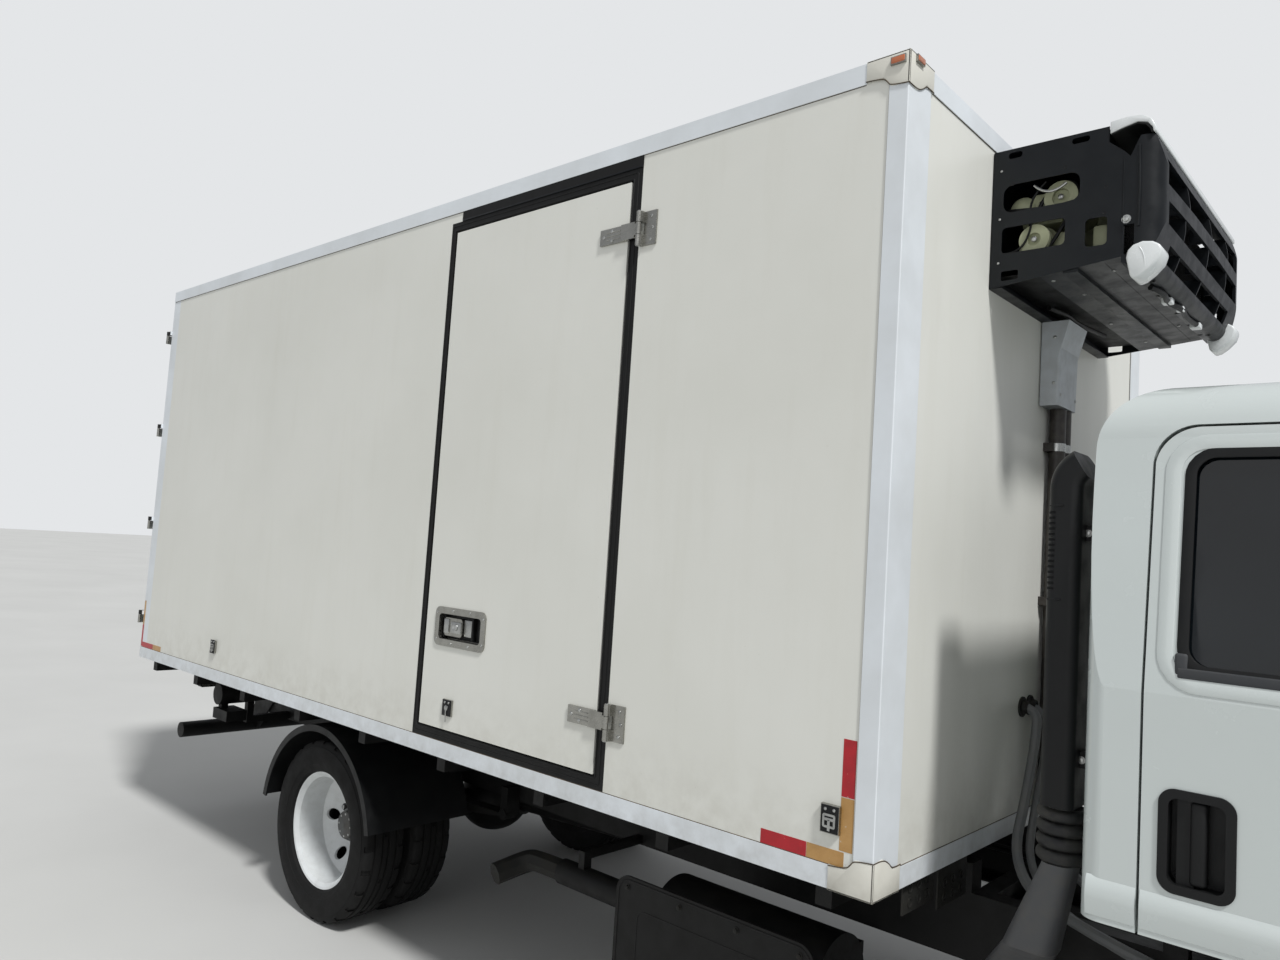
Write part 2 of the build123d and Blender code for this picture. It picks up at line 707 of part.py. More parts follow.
with BuildPart() as cooler_housing:
    for name, side in sides:
        y = side * (unit_half - sheet / 2)
        with BuildSketch(Plane.XZ.offset(-(y - sheet / 2))):
            with BuildLine():
                Polyline(
                    (body_front_x, pan_height(0)),
                    (unit_front_x, pan_height(unit_side_depth)),
                    (unit_front_x, unit_top - 82),
                    (body_front_x + cap_back - 0.3, nose_top),
                    (body_front_x + cap_back - 0.3, unit_top),
                    (body_front_x, unit_top),
                    close=True,
                )
            make_face()
            for x, z, width, height, corner in cutout_rows:
                with Locations((body_front_x + x, z)):
                    RectangleRounded(width, height, corner, mode=Mode.SUBTRACT)
        extrude(amount=-sheet)
    inner = unit_half - sheet
    block((skin_front_x + 0.3, -inner, unit_bottom), (body_front_x + sheet, inner, unit_top))
    block((body_front_x, -inner, unit_top - 12), (body_front_x + cap_back - 0.3, inner, unit_top - 8))
    block((body_front_x, -inner, unit_bottom), (body_front_x + 36, inner, unit_bottom + sheet))
    with BuildSketch(Plane.XZ.offset(inner)):
        with BuildLine():
            Polyline(
                (body_front_x + pan_back, pan_height(pan_back)),
                (unit_front_x, pan_height(unit_side_depth)),
                (unit_front_x, pan_height(unit_side_depth) + sheet),
                (body_front_x + pan_back, pan_height(pan_back) + sheet),
                close=True,
            )
        make_face()
    extrude(amount=-2 * inner)
    with BuildSketch(Plane.XZ.offset(inner)):
        with Locations((body_front_x + 238, pan_height(238) - 2)):
            Rectangle(42, 14)
    extrude(amount=-2 * inner)
save(cooler_housing, "cooler_housing")


def nose_plan(tip, half):
    """Plan of the unit's rounded front, drawn inside a sketch: slightly bowed, with round corners."""
    cheek = nose_corner * (1 - math.cos(math.pi / 4))
    edge = tip - nose_bow
    with BuildLine() as outline:
        ThreePointArc((edge, -half + nose_corner), (tip, 0), (edge, half - nose_corner))
        for side in (-1, 1):
            ThreePointArc(
                (edge, side * (half - nose_corner)),
                (edge - cheek, side * (half - cheek)),
                (edge - nose_corner, side * half),
            )
        Polyline(
            (edge - nose_corner, half),
            (body_front_x + 250, half),
            (body_front_x + 250, -half),
            (edge - nose_corner, -half),
        )
    make_face(outline.edges())


def unit_nose(grow):
    """Form of the unit's front moulding, grown outwards by the given amount."""
    back = unit_front_x + 0.3 + min(0, grow)
    tip = body_front_x + unit_depth + grow
    low = nose_low - grow
    high = nose_top + grow
    with BuildPart() as form:
        with BuildSketch(Plane.XZ.offset(unit_half + 20)) as section:
            with BuildLine():
                ThreePointArc((tip - 35, nose_low + 42), (tip, nose_low + 209), (tip - 31, high))
                Polyline((tip - 31, high), (back, high), (back, low + 14), (tip - 75, low))
                ThreePointArc((tip - 75, low), (tip - 47, low + 12), (tip - 35, nose_low + 42))
            make_face()
        extrude(section.sketch, amount=-2 * (unit_half + 20))
        with BuildSketch(Plane.XY.offset(low - 20)) as plan:
            nose_plan(tip, unit_half + grow)
        extrude(plan.sketch, amount=high - low + 40, mode=Mode.INTERSECT)
    return form.part


# Cooling unit front: a hollow black moulding with three wide openings, two broad slats and upright dividers
nose_rows = (
    # opening's low edge, high edge, half length, places of the dividers
    (2944, 3019, 500, (-250, 60, 330)),
    (2830, 2897, 490, (-300, 10, 300)),
    (2742, 2788, 420, (-290, 0, 290)),
)
nose_x = body_front_x + unit_depth
with BuildPart() as cooler_grille:
    add(unit_nose(0))
    add(unit_nose(-nose_wall), mode=Mode.SUBTRACT)
    for z_low, z_high, reach, places in nose_rows:
        cut_block((nose_x - 60, -reach, z_low), (nose_x + 20, reach, z_high))
    cut_block((body_front_x + 381, -unit_half - 1, 2734), (body_front_x + 409, unit_half + 1, 2821))
    with BuildSketch(Plane.XZ.offset(unit_half + 1)):
        with BuildLine():
            Polyline(
                (unit_front_x - 1, unit_top - 81),
                (unit_front_x + 19, unit_top - 103),
                (unit_front_x + 45, nose_top + 1),
                (unit_front_x - 1, nose_top + 1),
                close=True,
            )
        make_face()
    extrude(amount=-2 * unit_half - 2, mode=Mode.SUBTRACT)
    with BuildPart(mode=Mode.PRIVATE) as dividers:
        for z_low, z_high, reach, places in nose_rows:
            for y in places:
                block((nose_x - 70, y - 3, z_low - 8), (nose_x, y + 3, z_high + 8))
    add(dividers.part & unit_nose(-2))
save(cooler_grille, "cooler_grille")

# Cooling unit caps: the white hollow cap along the top front edge and two flared white lower corner caps
corner_cap_outline = (
    # x from the body, height
    (388, 2729),
    (426, 2767),
    (478, 2752),
    (486, 2716),
    (452, 2676),
    (410, 2657),
    (396, 2690),
)
with BuildPart() as cooler_caps:
    with BuildSketch(Plane.XZ.offset(unit_half + 4)) as section:
        with BuildLine():
            Polyline(
                (body_front_x + cap_front - 56, cap_top),
                (body_front_x + cap_back, cap_top),
                (body_front_x + cap_back, nose_top + 0.3),
                (body_front_x + cap_front, nose_top + 0.3),
            )
            ThreePointArc(
                (body_front_x + cap_front, nose_top + 0.3),
                (body_front_x + cap_front - 15, cap_top - 20),
                (body_front_x + cap_front - 56, cap_top),
            )
        make_face()
    extrude(section.sketch, amount=-2 * (unit_half + 4))
    with BuildSketch(Plane.XY.offset(nose_top - 5)) as plan:
        nose_plan(body_front_x + cap_front, unit_half + 4)
    extrude(plan.sketch, amount=100, mode=Mode.INTERSECT)
    with BuildPart(mode=Mode.PRIVATE) as hollow:
        with BuildSketch(Plane.XZ.offset(unit_half - 6)) as section:
            with BuildLine():
                Polyline(
                    (body_front_x + cap_front - 62, cap_top - 6),
                    (body_front_x + cap_back + 6, cap_top - 6),
                    (body_front_x + cap_back + 6, nose_top - 1),
                    (body_front_x + cap_front - 12, nose_top - 1),
                )
                ThreePointArc(
                    (body_front_x + cap_front - 12, nose_top - 1),
                    (body_front_x + cap_front - 24, cap_top - 26),
                    (body_front_x + cap_front - 62, cap_top - 6),
                )
            make_face()
        extrude(section.sketch, amount=-2 * (unit_half - 6))
    add(hollow.part, mode=Mode.SUBTRACT)
    for name, side in sides:
        with BuildPart(mode=Mode.PRIVATE) as corner_cap:
            with BuildSketch(Plane.XZ.offset(-min(side * (unit_half + 6), side * (unit_half - 84)))) as section:
                with BuildLine():
                    Polyline(*[(body_front_x + x, z) for x, z in corner_cap_outline], close=True)
                make_face()
            extrude(section.sketch, amount=-90)
            with BuildSketch(Plane.XY.offset(nose_low - 60)) as plan:
                nose_plan(nose_x + 4, unit_half + 6)
            extrude(plan.sketch, amount=200, mode=Mode.INTERSECT)
            add(unit_nose(0.3), mode=Mode.SUBTRACT)
        add(corner_cap.part)
save(cooler_caps, "cooler_caps")

# Machinery behind the cut-outs: compressor, engine block, pulleys and a condenser core
machine_low = pan_height(unit_side_depth) + sheet + 0.3
with BuildPart() as cooler_machinery:
    block((body_front_x + 40, -300, machine_low), (body_front_x + 300, 420, unit_bottom + 330))
    block((body_front_x + 296, -290, pan_height(316) + sheet + 0.3), (body_front_x + 316, 410, machine_low + 1))
    rod_y(body_front_x + 110, -460, -300, 2835, 62)
    rod_y(body_front_x + 190, -500, -300, 2960, 48)
    rod_y(body_front_x + 120, -520, -460, 2835, 40)
    block((body_front_x + 60, -470, 2900), (body_front_x + 180, -300, 2990))
    block((body_front_x + 330, -420, pan_height(360) + sheet + 0.3), (body_front_x + 360, 420, unit_top - 60))
save(cooler_machinery, "cooler_machinery")

# Evaporator under the roof inside the body
with BuildPart() as cooler_evaporator:
    block((wall_front_x - 420, -540, roof_bottom - 230), (wall_front_x, 540, roof_bottom))
    with BuildSketch(Plane.YZ.offset(wall_front_x - 421)):
        with Locations((-270, roof_bottom - 115), (270, roof_bottom - 115)):
            Circle(90)
            Circle(30, mode=Mode.SUBTRACT)
    extrude(amount=60, mode=Mode.SUBTRACT)
save(cooler_evaporator, "cooler_evaporator")

# Hose cover under the unit, flared at its head, and the two conduits that run down the front wall from it
cover_low = 2392
conduit_rows = (
    # centre y, radius
    (8, 27),
    (64, 27),
)
with BuildPart() as cooler_pipes:
    with BuildSketch(Plane.XZ.offset(92)):
        with BuildLine():
            Polyline(
                (body_front_x, cover_low),
                (body_front_x + 62, cover_low),
                (body_front_x + 66, cover_low + 200),
                (body_front_x + 92, unit_bottom - 0.3),
                (body_front_x, unit_bottom - 0.3),
                close=True,
            )
        make_face()
    extrude(amount=-192)
    fillet(cooler_pipes.edges().filter_by(lambda edge: edge.center().X > body_front_x + 60 and edge.length > 195), 10)
    for y, radius in conduit_rows:
        rod_z(body_front_x + 31, y, 1000, cover_low, radius)
    for z in (1180, 1700, 2240):
        block((skin_front_x + 0.3, -30, z), (body_front_x + 31, 100, z + 30))
save(cooler_pipes, "cooler_pipes")

# Lower air duct: rubber bellows under the intake and a bend towards the engine
duct_x = body_front_x + 365
duct_y = -880
duct_low = 1242
with BuildPart() as intake_lower_duct:
    with BuildSketch(Plane.XZ.offset(-duct_y)):
        with BuildLine():
            Polyline((duct_x, 1100), (duct_x + 50, 1100))
            for rib in range(4):
                z = 1100 + rib * 34
                ThreePointArc((duct_x + 50, z), (duct_x + 62, z + 17), (duct_x + 50, z + 34))
            Polyline((duct_x + 50, 1236), (duct_x, 1236), (duct_x, 1100))
        make_face()
    revolve(axis=Axis((duct_x, duct_y, 0), (0, 0, 1)), revolution_arc=360)
    with BuildSketch(Plane.XY.offset(1100)):
        with Locations((duct_x, duct_y)):
            RectangleRounded(76, 110, 30)
    with BuildSketch(Plane.XY.offset(850)):
        with Locations((duct_x - 90, duct_y + 70)):
            RectangleRounded(130, 120, 40)
    loft()
    with BuildSketch(Plane.XY.offset(850)):
        with Locations((duct_x - 90, duct_y + 70)):
            RectangleRounded(130, 120, 40)
    with BuildSketch(Plane.XY.offset(700)):
        with Locations((duct_x - 200, duct_y + 260)):
            RectangleRounded(150, 120, 40)
    loft()
    block((duct_x - 230, duct_y + 290, 640), (duct_x - 170, -frame_width / 2, 700))
save(intake_lower_duct, "intake_lower_duct")


def ring(x, y, out, profile):
    """Turn a closed profile about a wheel's axis; its rows hold the axial place towards out, and the radius."""
    with BuildSketch(Plane.YZ.offset(x)) as section:
        with BuildLine():
            Polyline(*[(y + out * axial, wheel_z + radius) for axial, radius in profile], close=True)
        make_face()
    revolve(section.sketch, axis=Axis((x, 0, wheel_z), (0, 1, 0)), revolution_arc=360)


tyre_profile = (
    # axial place, radius: tread, widest place of the sidewall, bead
    (-95, tyre_radius),
    (95, tyre_radius),
    (tyre_width / 2, 330),
    (84, rim_radius + 0.5),
    (-84, rim_radius + 0.5),
    (-tyre_width / 2, 330),
)
dished_rim = (
    # axial place towards the mounting face, radius: seat, lips, disc with its bore
    (-rim_width / 2, rim_radius),
    (rim_width / 2, rim_radius),
    (80, 252),
    (64, 232),
    (127, 148),
    (127, 82),
    (117, 82),
    (117, 144),
    (54, 230),
    (-66, 236),
    (-80, 252),
)
front_hub = (
    # axial place outwards from the wheel's centre, radius: brake drum, flange, bearing cap, bore
    (-20, 37),
    (-20, 150),
    (40, 150),
    (117, 112),
    (117, 81.8),
    (140, 81.8),
    (166, 60),
    (172, 0),
    (97, 0),
    (97, 37),
)
rear_hub = (
    # axial place outwards from the mounting flange, radius: axle cap, flange, brake drum
    (96, 0),
    (90, 62),
    (60, 78),
    (4, 81.8),
    (-10, 81.8),
    (-10, 124),
    (-40, 172),
    (-190, 172),
    (-190, 45),
    (-60, 45),
    (-60, 0),
)
hand_holes = 6
hand_hole_circle = 187
stud_circle = 111.125


def rim(x, y, out):
    """Return one dished rim with its hand holes; out is the side that its mounting face is on."""
    with BuildPart() as wheel:
        ring(x, y, out, dished_rim)
        with BuildSketch(Plane.XZ.offset(-y)) as holes:
            with Locations((x, wheel_z)):
                with PolarLocations(hand_hole_circle, hand_holes):
                    Circle(28)
        extrude(holes.sketch, amount=-out * 200, mode=Mode.SUBTRACT)
    return wheel.part


def studs(x, y, out, length):
    """Add six wheel nuts that stand out from the plane y towards out."""
    with BuildSketch(Plane.XZ.offset(-y)) as ends:
        with Locations((x, wheel_z)):
            with PolarLocations(stud_circle, hand_holes, start_angle=30):
                RegularPolygon(17, 6)
    extrude(ends.sketch, amount=-out * length)


# Steering knuckles: kingpin, stub axle and steering arm
for name, side in sides:
    pin_y = side * kingpin_spread / 2
    with BuildPart() as knuckle:
        for z_low, z_high in ((296, 344), (466, 512)):
            rod_z(front_axle_x, pin_y, z_low, z_high, 40)
        rod_z(front_axle_x, pin_y, 300, 500, kingpin_radius)
        for z_low, z_high in ((300, 344), (466, 510)):
            block(
                (front_axle_x - 38, min(pin_y, pin_y + side * 62), z_low),
                (front_axle_x + 38, max(pin_y, pin_y + side * 62), z_high),
            )
        block(
            (front_axle_x - 38, min(pin_y + side * 53, pin_y + side * 62), 300),
            (front_axle_x + 38, max(pin_y + side * 53, pin_y + side * 62), 510),
        )
        rod_y(front_axle_x, min(pin_y + side * 54, side * 905), max(pin_y + side * 54, side * 905), wheel_z, 36)
        block((front_axle_x - 190, pin_y - 25, 296), (front_axle_x - 20, pin_y + 25, 322))
        rod_z(front_axle_x - 185, pin_y, 290, 330, 24)
    save(knuckle, f"knuckle_{name}")

# Front wheels
for name, side in sides:
    centre_y = side * front_track / 2
    with BuildPart() as front_tyre:
        ring(front_axle_x, centre_y, side, tyre_profile)
    save(front_tyre, f"front_tyre_{name}")
    with BuildPart() as front_rim:
        add(rim(front_axle_x, centre_y, side))
        ring(front_axle_x, centre_y, side, front_hub)
        studs(front_axle_x, centre_y + side * 126, side, 27)
    save(front_rim, f"front_rim_{name}")

# Rear twin wheels: both rims meet back to back on the hub's flange
for name, side in sides:
    flange_y = side * rear_track / 2
    outer_y = flange_y + side * twin_spacing / 2
    inner_y = flange_y - side * twin_spacing / 2
    with BuildPart() as rear_tyres:
        ring(rear_axle_x, outer_y, side, tyre_profile)
        ring(rear_axle_x, inner_y, side, tyre_profile)
    save(rear_tyres, f"rear_tyres_{name}")
    with BuildPart() as rear_rims:
        add(rim(rear_axle_x, outer_y, -side))
        add(rim(rear_axle_x, inner_y, side))
        ring(rear_axle_x, flange_y, side, rear_hub)
        studs(rear_axle_x, flange_y + side * 9, side, 34)
    save(rear_rims, f"rear_rims_{name}")


# Cab: one form is the meeting of three outlines, each set in by the same amount
def cab_side_outline(inset):
    """Side outline of the cab in the X-Z plane, drawn inside a sketch."""
    back = cab_back_x + inset
    roof = cab_roof - inset
    low = cab_bottom + inset
    arch = arch_radius + inset
    reach = math.sqrt(arch**2 - (low - wheel_z) ** 2)
    nose = cab_front_x - inset
    glass_foot = (cab_front_x - 60 - inset * 1.05, 1450)
    glass_head = (cab_front_x - 340 - inset * 1.05, 2235 - inset)
    with BuildLine() as outline:
        Line((back, wheel_z + arch), (back, roof - 190))
        ThreePointArc((back, roof - 190), (back + 42, roof - 78), (back + 150, roof - 24))
        ThreePointArc((back + 150, roof - 24), (back + 620, roof), (cab_front_x - 490 - inset, roof - 22))
        Line((cab_front_x - 490 - inset, roof - 22), glass_head)
        Line(glass_head, glass_foot)
        Line(glass_foot, (nose, 1010))
        Line((nose, 1010), (nose - 14, low))
        Line((nose - 14, low), (front_axle_x + reach, low))
        half_turn = math.atan2(low - wheel_z, reach) / 2 + math.pi / 4
        ThreePointArc(
            (front_axle_x + reach, low),
            (front_axle_x + arch * math.cos(half_turn), wheel_z + arch * math.sin(half_turn)),
            (front_axle_x, wheel_z + arch),
        )
        Line((front_axle_x, wheel_z + arch), (back, wheel_z + arch))
    make_face(outline.edges())


def cab_form(inset):
    """Make the cab's form, set in by the given amount all round."""
    half = cab_half - inset
    roof = cab_roof - inset
    with BuildPart() as form:
        with BuildSketch(Plane.XZ.offset(cab_half + 20)):
            cab_side_outline(inset)
        extrude(amount=-2 * cab_half - 40)
        with BuildSketch(Plane.YZ.offset(cab_back_x)):
            with BuildLine():
                Polyline((half - 62, 2150), (half, 1560), (half, 700), (-half, 700), (-half, 1560), (-half + 62, 2150))
                ThreePointArc((-half + 62, 2150), (-half + 105, roof - 62), (-half + 200, roof - 22))
                ThreePointArc((-half + 200, roof - 22), (0, roof), (half - 200, roof - 22))
                ThreePointArc((half - 200, roof - 22), (half - 105, roof - 62), (half - 62, 2150))
            make_face()
        extrude(amount=cab_length + 50, mode=Mode.INTERSECT)
        with BuildSketch(Plane.XY.offset(700)):
            with BuildLine():
                nose = cab_front_x - inset
                back = cab_back_x + inset
                ThreePointArc((nose - 60, -half + 190), (nose, 0), (nose - 60, half - 190))
                ThreePointArc((nose - 60, half - 190), (nose - 120, half - 66), (nose - 260, half))
                Line((nose - 260, half), (back + 50, half))
                ThreePointArc((back + 50, half), (back + 15, half - 15), (back, half - 50))
                Line((back, half - 50), (back, -half + 50))
                ThreePointArc((back, -half + 50), (back + 15, -half + 15), (back + 50, -half))
                Line((back + 50, -half), (nose - 260, -half))
                ThreePointArc((nose - 260, -half), (nose - 120, -half + 66), (nose - 60, -half + 190))
            make_face()
        extrude(amount=1700, mode=Mode.INTERSECT)
    return form.part


def door_outline(margin):
    """Side outline of the cab door; margin is how far it is set in from the middle of the gap."""
    rear = cab_back_x + 130 + margin
    front = cab_front_x - 320 - margin
    top = 2176 - margin
    lean = cab_front_x - 528 - margin
    with BuildLine() as outline:
        Polyline((rear, 700), (rear, 2090))
        ThreePointArc((rear, 2090), (rear + 30, top - 25), (rear + 100, top))
        Line((rear + 100, top), (lean - 60, top))
        ThreePointArc((lean - 60, top), (lean - 14, top - 14), (lean + 16, top - 60))
        Polyline((lean + 16, top - 60), (front, 1480), (front, 700), (rear, 700))
    make_face(outline.edges())


def window_outline(margin):
    """Side outline of the door window, with rounded corners."""
    rear = cab_back_x + 206 + margin
    low = 1612 + margin
    top = 2118 - margin
    with BuildLine() as outline:
        FilletPolyline(
            (rear, low),
            (rear, top),
            (cab_front_x - 572 - margin, top),
            (cab_front_x - 402 - margin, low + 90),
            (cab_front_x - 440 - margin, low),
            radius=(70, 60, 50, 40, 60),
            close=True,
        )
    make_face(outline.edges())


outer_form = cab_form(0)
glass_form = cab_form(9)
inner_form = cab_form(cab_wall)
floor_half = cab_half - cab_wall - 12

with BuildPart() as floor_tool:
    with BuildSketch(Plane.XZ.offset(floor_half + panel_gap)):
        cab_side_outline(0)
    extrude(amount=-2 * (floor_half + panel_gap))
    with BuildSketch(Plane.XZ.offset(floor_half + panel_gap + 1)):
        cab_side_outline(cab_wall)
    extrude(amount=-2 * (floor_half + panel_gap + 1), mode=Mode.SUBTRACT)

windscreen_low = 1505
windscreen_high = 2185
windscreen_wide = 890
windscreen_narrow = 790


def windscreen_prism(margin):
    """Front view of the windscreen as a long prism from the front of the cab."""
    with BuildPart() as prism:
        with BuildSketch(Plane.YZ.offset(cab_front_x - 650)):
            with BuildLine():
                FilletPolyline(
                    (-windscreen_wide + margin, windscreen_low + margin),
                    (-windscreen_narrow + margin, windscreen_high - margin),
                    (windscreen_narrow - margin, windscreen_high - margin),
                    (windscreen_wide - margin, windscreen_low + margin),
                    radius=70,
                    close=True,
                )
            make_face()
        extrude(amount=700)
    return prism.part


def rear_window_prism(margin):
    """Rear view of the back window as a prism through the back wall."""
    with BuildPart() as prism:
        with BuildSketch(Plane.YZ.offset(cab_back_x - 20)):
            with Locations((0, 1850)):
                RectangleRounded(1300 - 2 * margin, 420 - 2 * margin, 70)
        extrude(amount=110)
    return prism.part


wall_form = outer_form - inner_form
door_tools = {}
for name, side in sides:
    for margin in (-panel_gap / 2, panel_gap / 2):
        with BuildPart() as tool:
            with BuildSketch(Plane.XZ.offset(-side * (cab_half - 200))):
                door_outline(margin)
            extrude(amount=-side * 240)
        door_tools[name, margin] = tool.part

with BuildPart() as cab_shell:
    add(wall_form)
    for name, side in sides:
        add(door_tools[name, -panel_gap / 2] - floor_tool.part, mode=Mode.SUBTRACT)
    add(windscreen_prism(0), mode=Mode.SUBTRACT)
    add(rear_window_prism(0), mode=Mode.SUBTRACT)
    for y in (-330, 330):
        block((tilt_x - 45, y - 12, tilt_height - 32), (tilt_x + 32, y + 12, cab_bottom + 10))
        with BuildSketch(Plane.XZ.offset(-(y - 13))):
            with Locations((tilt_x, tilt_height)):
                Circle(tilt_tube + 0.5)
        extrude(amount=-26, mode=Mode.SUBTRACT)
save(cab_shell, "cab_shell")

glass_skin = outer_form - glass_form
with BuildPart() as cab_glass:
    add(glass_skin & windscreen_prism(0.4))
    with BuildPart(mode=Mode.PRIVATE) as back_glass:
        add(rear_window_prism(0.4))
        cut_block((cab_back_x - 30, -1000, 1000), (cab_back_x + 20, 1000, 2300))
        cut_block((cab_back_x + 28, -1000, 1000), (cab_back_x + 200, 1000, 2300))
    add(back_glass.part)
save(cab_glass, "cab_glass")


def mirror(side):
    """Return one door mirror on its two arms and upright, trimmed to the side of the cab."""
    bar_y = side * 1065
    bar_x = cab_front_x - 330
    with BuildPart() as whole:
        with BuildSketch(Plane.XY.offset(1560)) as housing:
            with Locations((cab_front_x - 325, side * 1150)):
                RectangleRounded(52, 160, 24)
        extrude(housing.sketch, amount=400)
        rod_z(bar_x, bar_y, 1620, 2080, 10)
        for arm_x, z in ((cab_front_x - 400, 1650), (cab_front_x - 540, 2060)):
            block((arm_x, min(side * 940, bar_y), z - 9), (arm_x + 20, max(side * 940, bar_y), z + 9))
            block((arm_x, bar_y - 9, z - 9), (bar_x, bar_y + 9, z + 9))
        add(cab_form(-0.2), mode=Mode.SUBTRACT)
    return whole.part


# Cab doors with their window frames and glass, hinged at the front edge
handle_x = cab_back_x + 243
handle_z = 1246
handle_width = 130
handle_height = 205
for name, side in sides:
    door_body = (wall_form & door_tools[name, panel_gap / 2]) - floor_tool.part
    with BuildPart() as window_tool:
        with BuildSketch(Plane.XZ.offset(-side * (cab_half - 200))):
            window_outline(0)
        extrude(amount=-side * 240)
    with BuildPart() as handle_tool:
        with BuildSketch(Plane.XZ.offset(-side * (cab_half - 42))):
            with Locations((handle_x, handle_z)):
                RectangleRounded(handle_width, handle_height, 26)
        extrude(amount=-side * 60)
    with BuildPart() as cab_door:
        add(door_body - window_tool.part - handle_tool.part)
    save(cab_door, f"cab_door_{name}")
    with BuildPart() as pane_tool:
        with BuildSketch(Plane.XZ.offset(-side * (cab_half - 200))):
            window_outline(0.2)
        extrude(amount=-side * 240)
    with BuildPart() as door_glass:
        add((cab_form(14) - cab_form(20)) & pane_tool.part)
    save(door_glass, f"door_glass_{name}")
    with BuildPart() as door_fittings:
        with BuildSketch(Plane.XZ.offset(-side * (cab_half + 0.2))):
            with Locations((handle_x, handle_z)):
                RectangleRounded(150, 225, 34)
                RectangleRounded(110, 185, 18, mode=Mode.SUBTRACT)
        extrude(amount=-side * 4)
        with BuildSketch(Plane.XZ.offset(-side * (cab_half - 41.7))):
            with Locations((handle_x, handle_z)):
                RectangleRounded(handle_width - 0.6, handle_height - 0.6, 26)
                RectangleRounded(110, 185, 18, mode=Mode.SUBTRACT)
        extrude(amount=-side * 42)
        with BuildSketch(Plane.XZ.offset(-side * (cab_half - 41.7))):
            with Locations((handle_x, handle_z)):
                RectangleRounded(handle_width - 0.6, handle_height - 0.6, 26)
        extrude(amount=-side * 6)
        with BuildSketch(Plane.XZ.offset(-side * (cab_half - 26))):
            with Locations((handle_x - 22, handle_z)):
                Rectangle(34, 190)
        extrude(amount=-side * 18)
        add(mirror(side))
    save(door_fittings, f"door_fittings_{name}")

# Cab front: a dark grille panel with three slots, and the headlamps on each side of it
with BuildPart() as cab_grille:
    add((cab_form(-8) - cab_form(-0.2)))
    with BuildSketch(Plane.YZ.offset(cab_front_x - 350)):
        with Locations((0, 1110)):
            RectangleRounded(1180, 250, 40)
            with GridLocations(0, 62, 1, 3):
                RectangleRounded(1060, 30, 12, mode=Mode.SUBTRACT)
    extrude(amount=500, mode=Mode.INTERSECT)
save(cab_grille, "cab_grille")

with BuildPart() as cab_headlamps:
    add((cab_form(-8) - cab_form(-0.2)))
    with BuildSketch(Plane.YZ.offset(cab_front_x - 350)):
        with Locations((-800, 1050), (800, 1050)):
            RectangleRounded(300, 230, 60)
    extrude(amount=500, mode=Mode.INTERSECT)
save(cab_headlamps, "cab_headlamps")

# Seats: a driver's seat and a wider passenger bench, each a cushion and a backrest
seat_rows = (
    # centre y, width
    (520, 500),
    (-380, 860),
)
with BuildPart() as cab_seats:
    for y, width in seat_rows:
        block((cab_back_x + 330, y - width / 2, 1190), (cab_back_x + 850, y + width / 2, 1400))
        block((cab_back_x + 190, y - width / 2 + 10, 1330), (cab_back_x + 329.7, y + width / 2 - 10, 2000))
        block((cab_back_x + 260, y - width / 2 + 40, cab_sill + cab_wall + 0.3), (cab_back_x + 800, y + width / 2 - 40, 1190))
save(cab_seats, "cab_seats")

# Dashboard with the steering column and wheel
dash_front_x = cab_front_x - 180
wheel_centre = Vector(cab_front_x - 590, 520, 1560)
column_foot = Vector(cab_front_x - 390, 520, 1380)
with BuildPart() as cab_dashboard:
    with BuildSketch(Plane.XZ.offset(860)):
        with BuildLine():
            Polyline(
                (dash_front_x, 1240),
                (dash_front_x, 1440),
                (dash_front_x - 180, 1480),
                (dash_front_x - 290, 1420),
                (dash_front_x - 260, 1250),
                close=True,
            )
        make_face()
    extrude(amount=-1720)
    for side in (-1, 1):
        block((dash_front_x - 120, side * 700 - 60, cab_bottom + cab_wall + 0.3), (dash_front_x - 40, side * 700 + 60, 1250))
    column = column_foot - wheel_centre
    with BuildSketch(Plane(origin=wheel_centre, z_dir=column)):
        Circle(32)
    extrude(amount=column.length)
    with BuildSketch(Plane(origin=wheel_centre, z_dir=column)):
        Circle(215)
        Circle(190, mode=Mode.SUBTRACT)
        Rectangle(400, 40)
    extrude(amount=24)
save(cab_dashboard, "cab_dashboard")

# Intake duct on the back of the cab: a louvred box section with an elbow at its head
louvre_count = 15
intake_x = body_front_x + 365
with BuildPart() as intake_duct:
    with BuildSketch(Plane.XY.offset(duct_low)):
        with Locations((intake_x, duct_y)):
            RectangleRounded(80, 150, 24)
    extrude(amount=2030 - duct_low)
    with BuildSketch(Plane.XY.offset(2030)):
        with Locations((intake_x, duct_y)):
            RectangleRounded(80, 150, 24)
    revolve(axis=Axis((intake_x + 70, duct_y, 2030), (0, 1, 0)), revolution_arc=60)
    for index in range(louvre_count):
        z = 1774 + index * 13.6
        cut_block((intake_x - 41, duct_y - 76, z), (intake_x - 18, duct_y - 62, z + 6))
    block((intake_x + 30, duct_y - 20, 1340), (cab_back_x, duct_y + 20, 1380))
    block((intake_x + 30, duct_y - 20, 1900), (cab_back_x, duct_y + 20, 1940))
save(intake_duct, "intake_duct")

# Side door: an insulated panel with strap hinges at its front edge and a recessed paddle latch
with BuildPart() as side_door:
    block((door_rear_x, -skin_half - 2, side_door_bottom), (door_front_x, -inner_half, side_door_top))
    edges = side_door.edges().filter_by(Axis.Z).filter_by(
        lambda edge: abs(edge.center().X - door_rear_x) < 0.1 and abs(edge.center().Y + inner_half) < 0.1
    )
    chamfer(edges, 10)
    latch_x = body_front_x - 1764
    latch_z = 1454
    with BuildSketch(Plane.XZ.offset(skin_half - 30)):
        with Locations((latch_x, latch_z)):
            RectangleRounded(270, 110, 20)
    extrude(amount=40, mode=Mode.SUBTRACT)
save(side_door, "side_door")

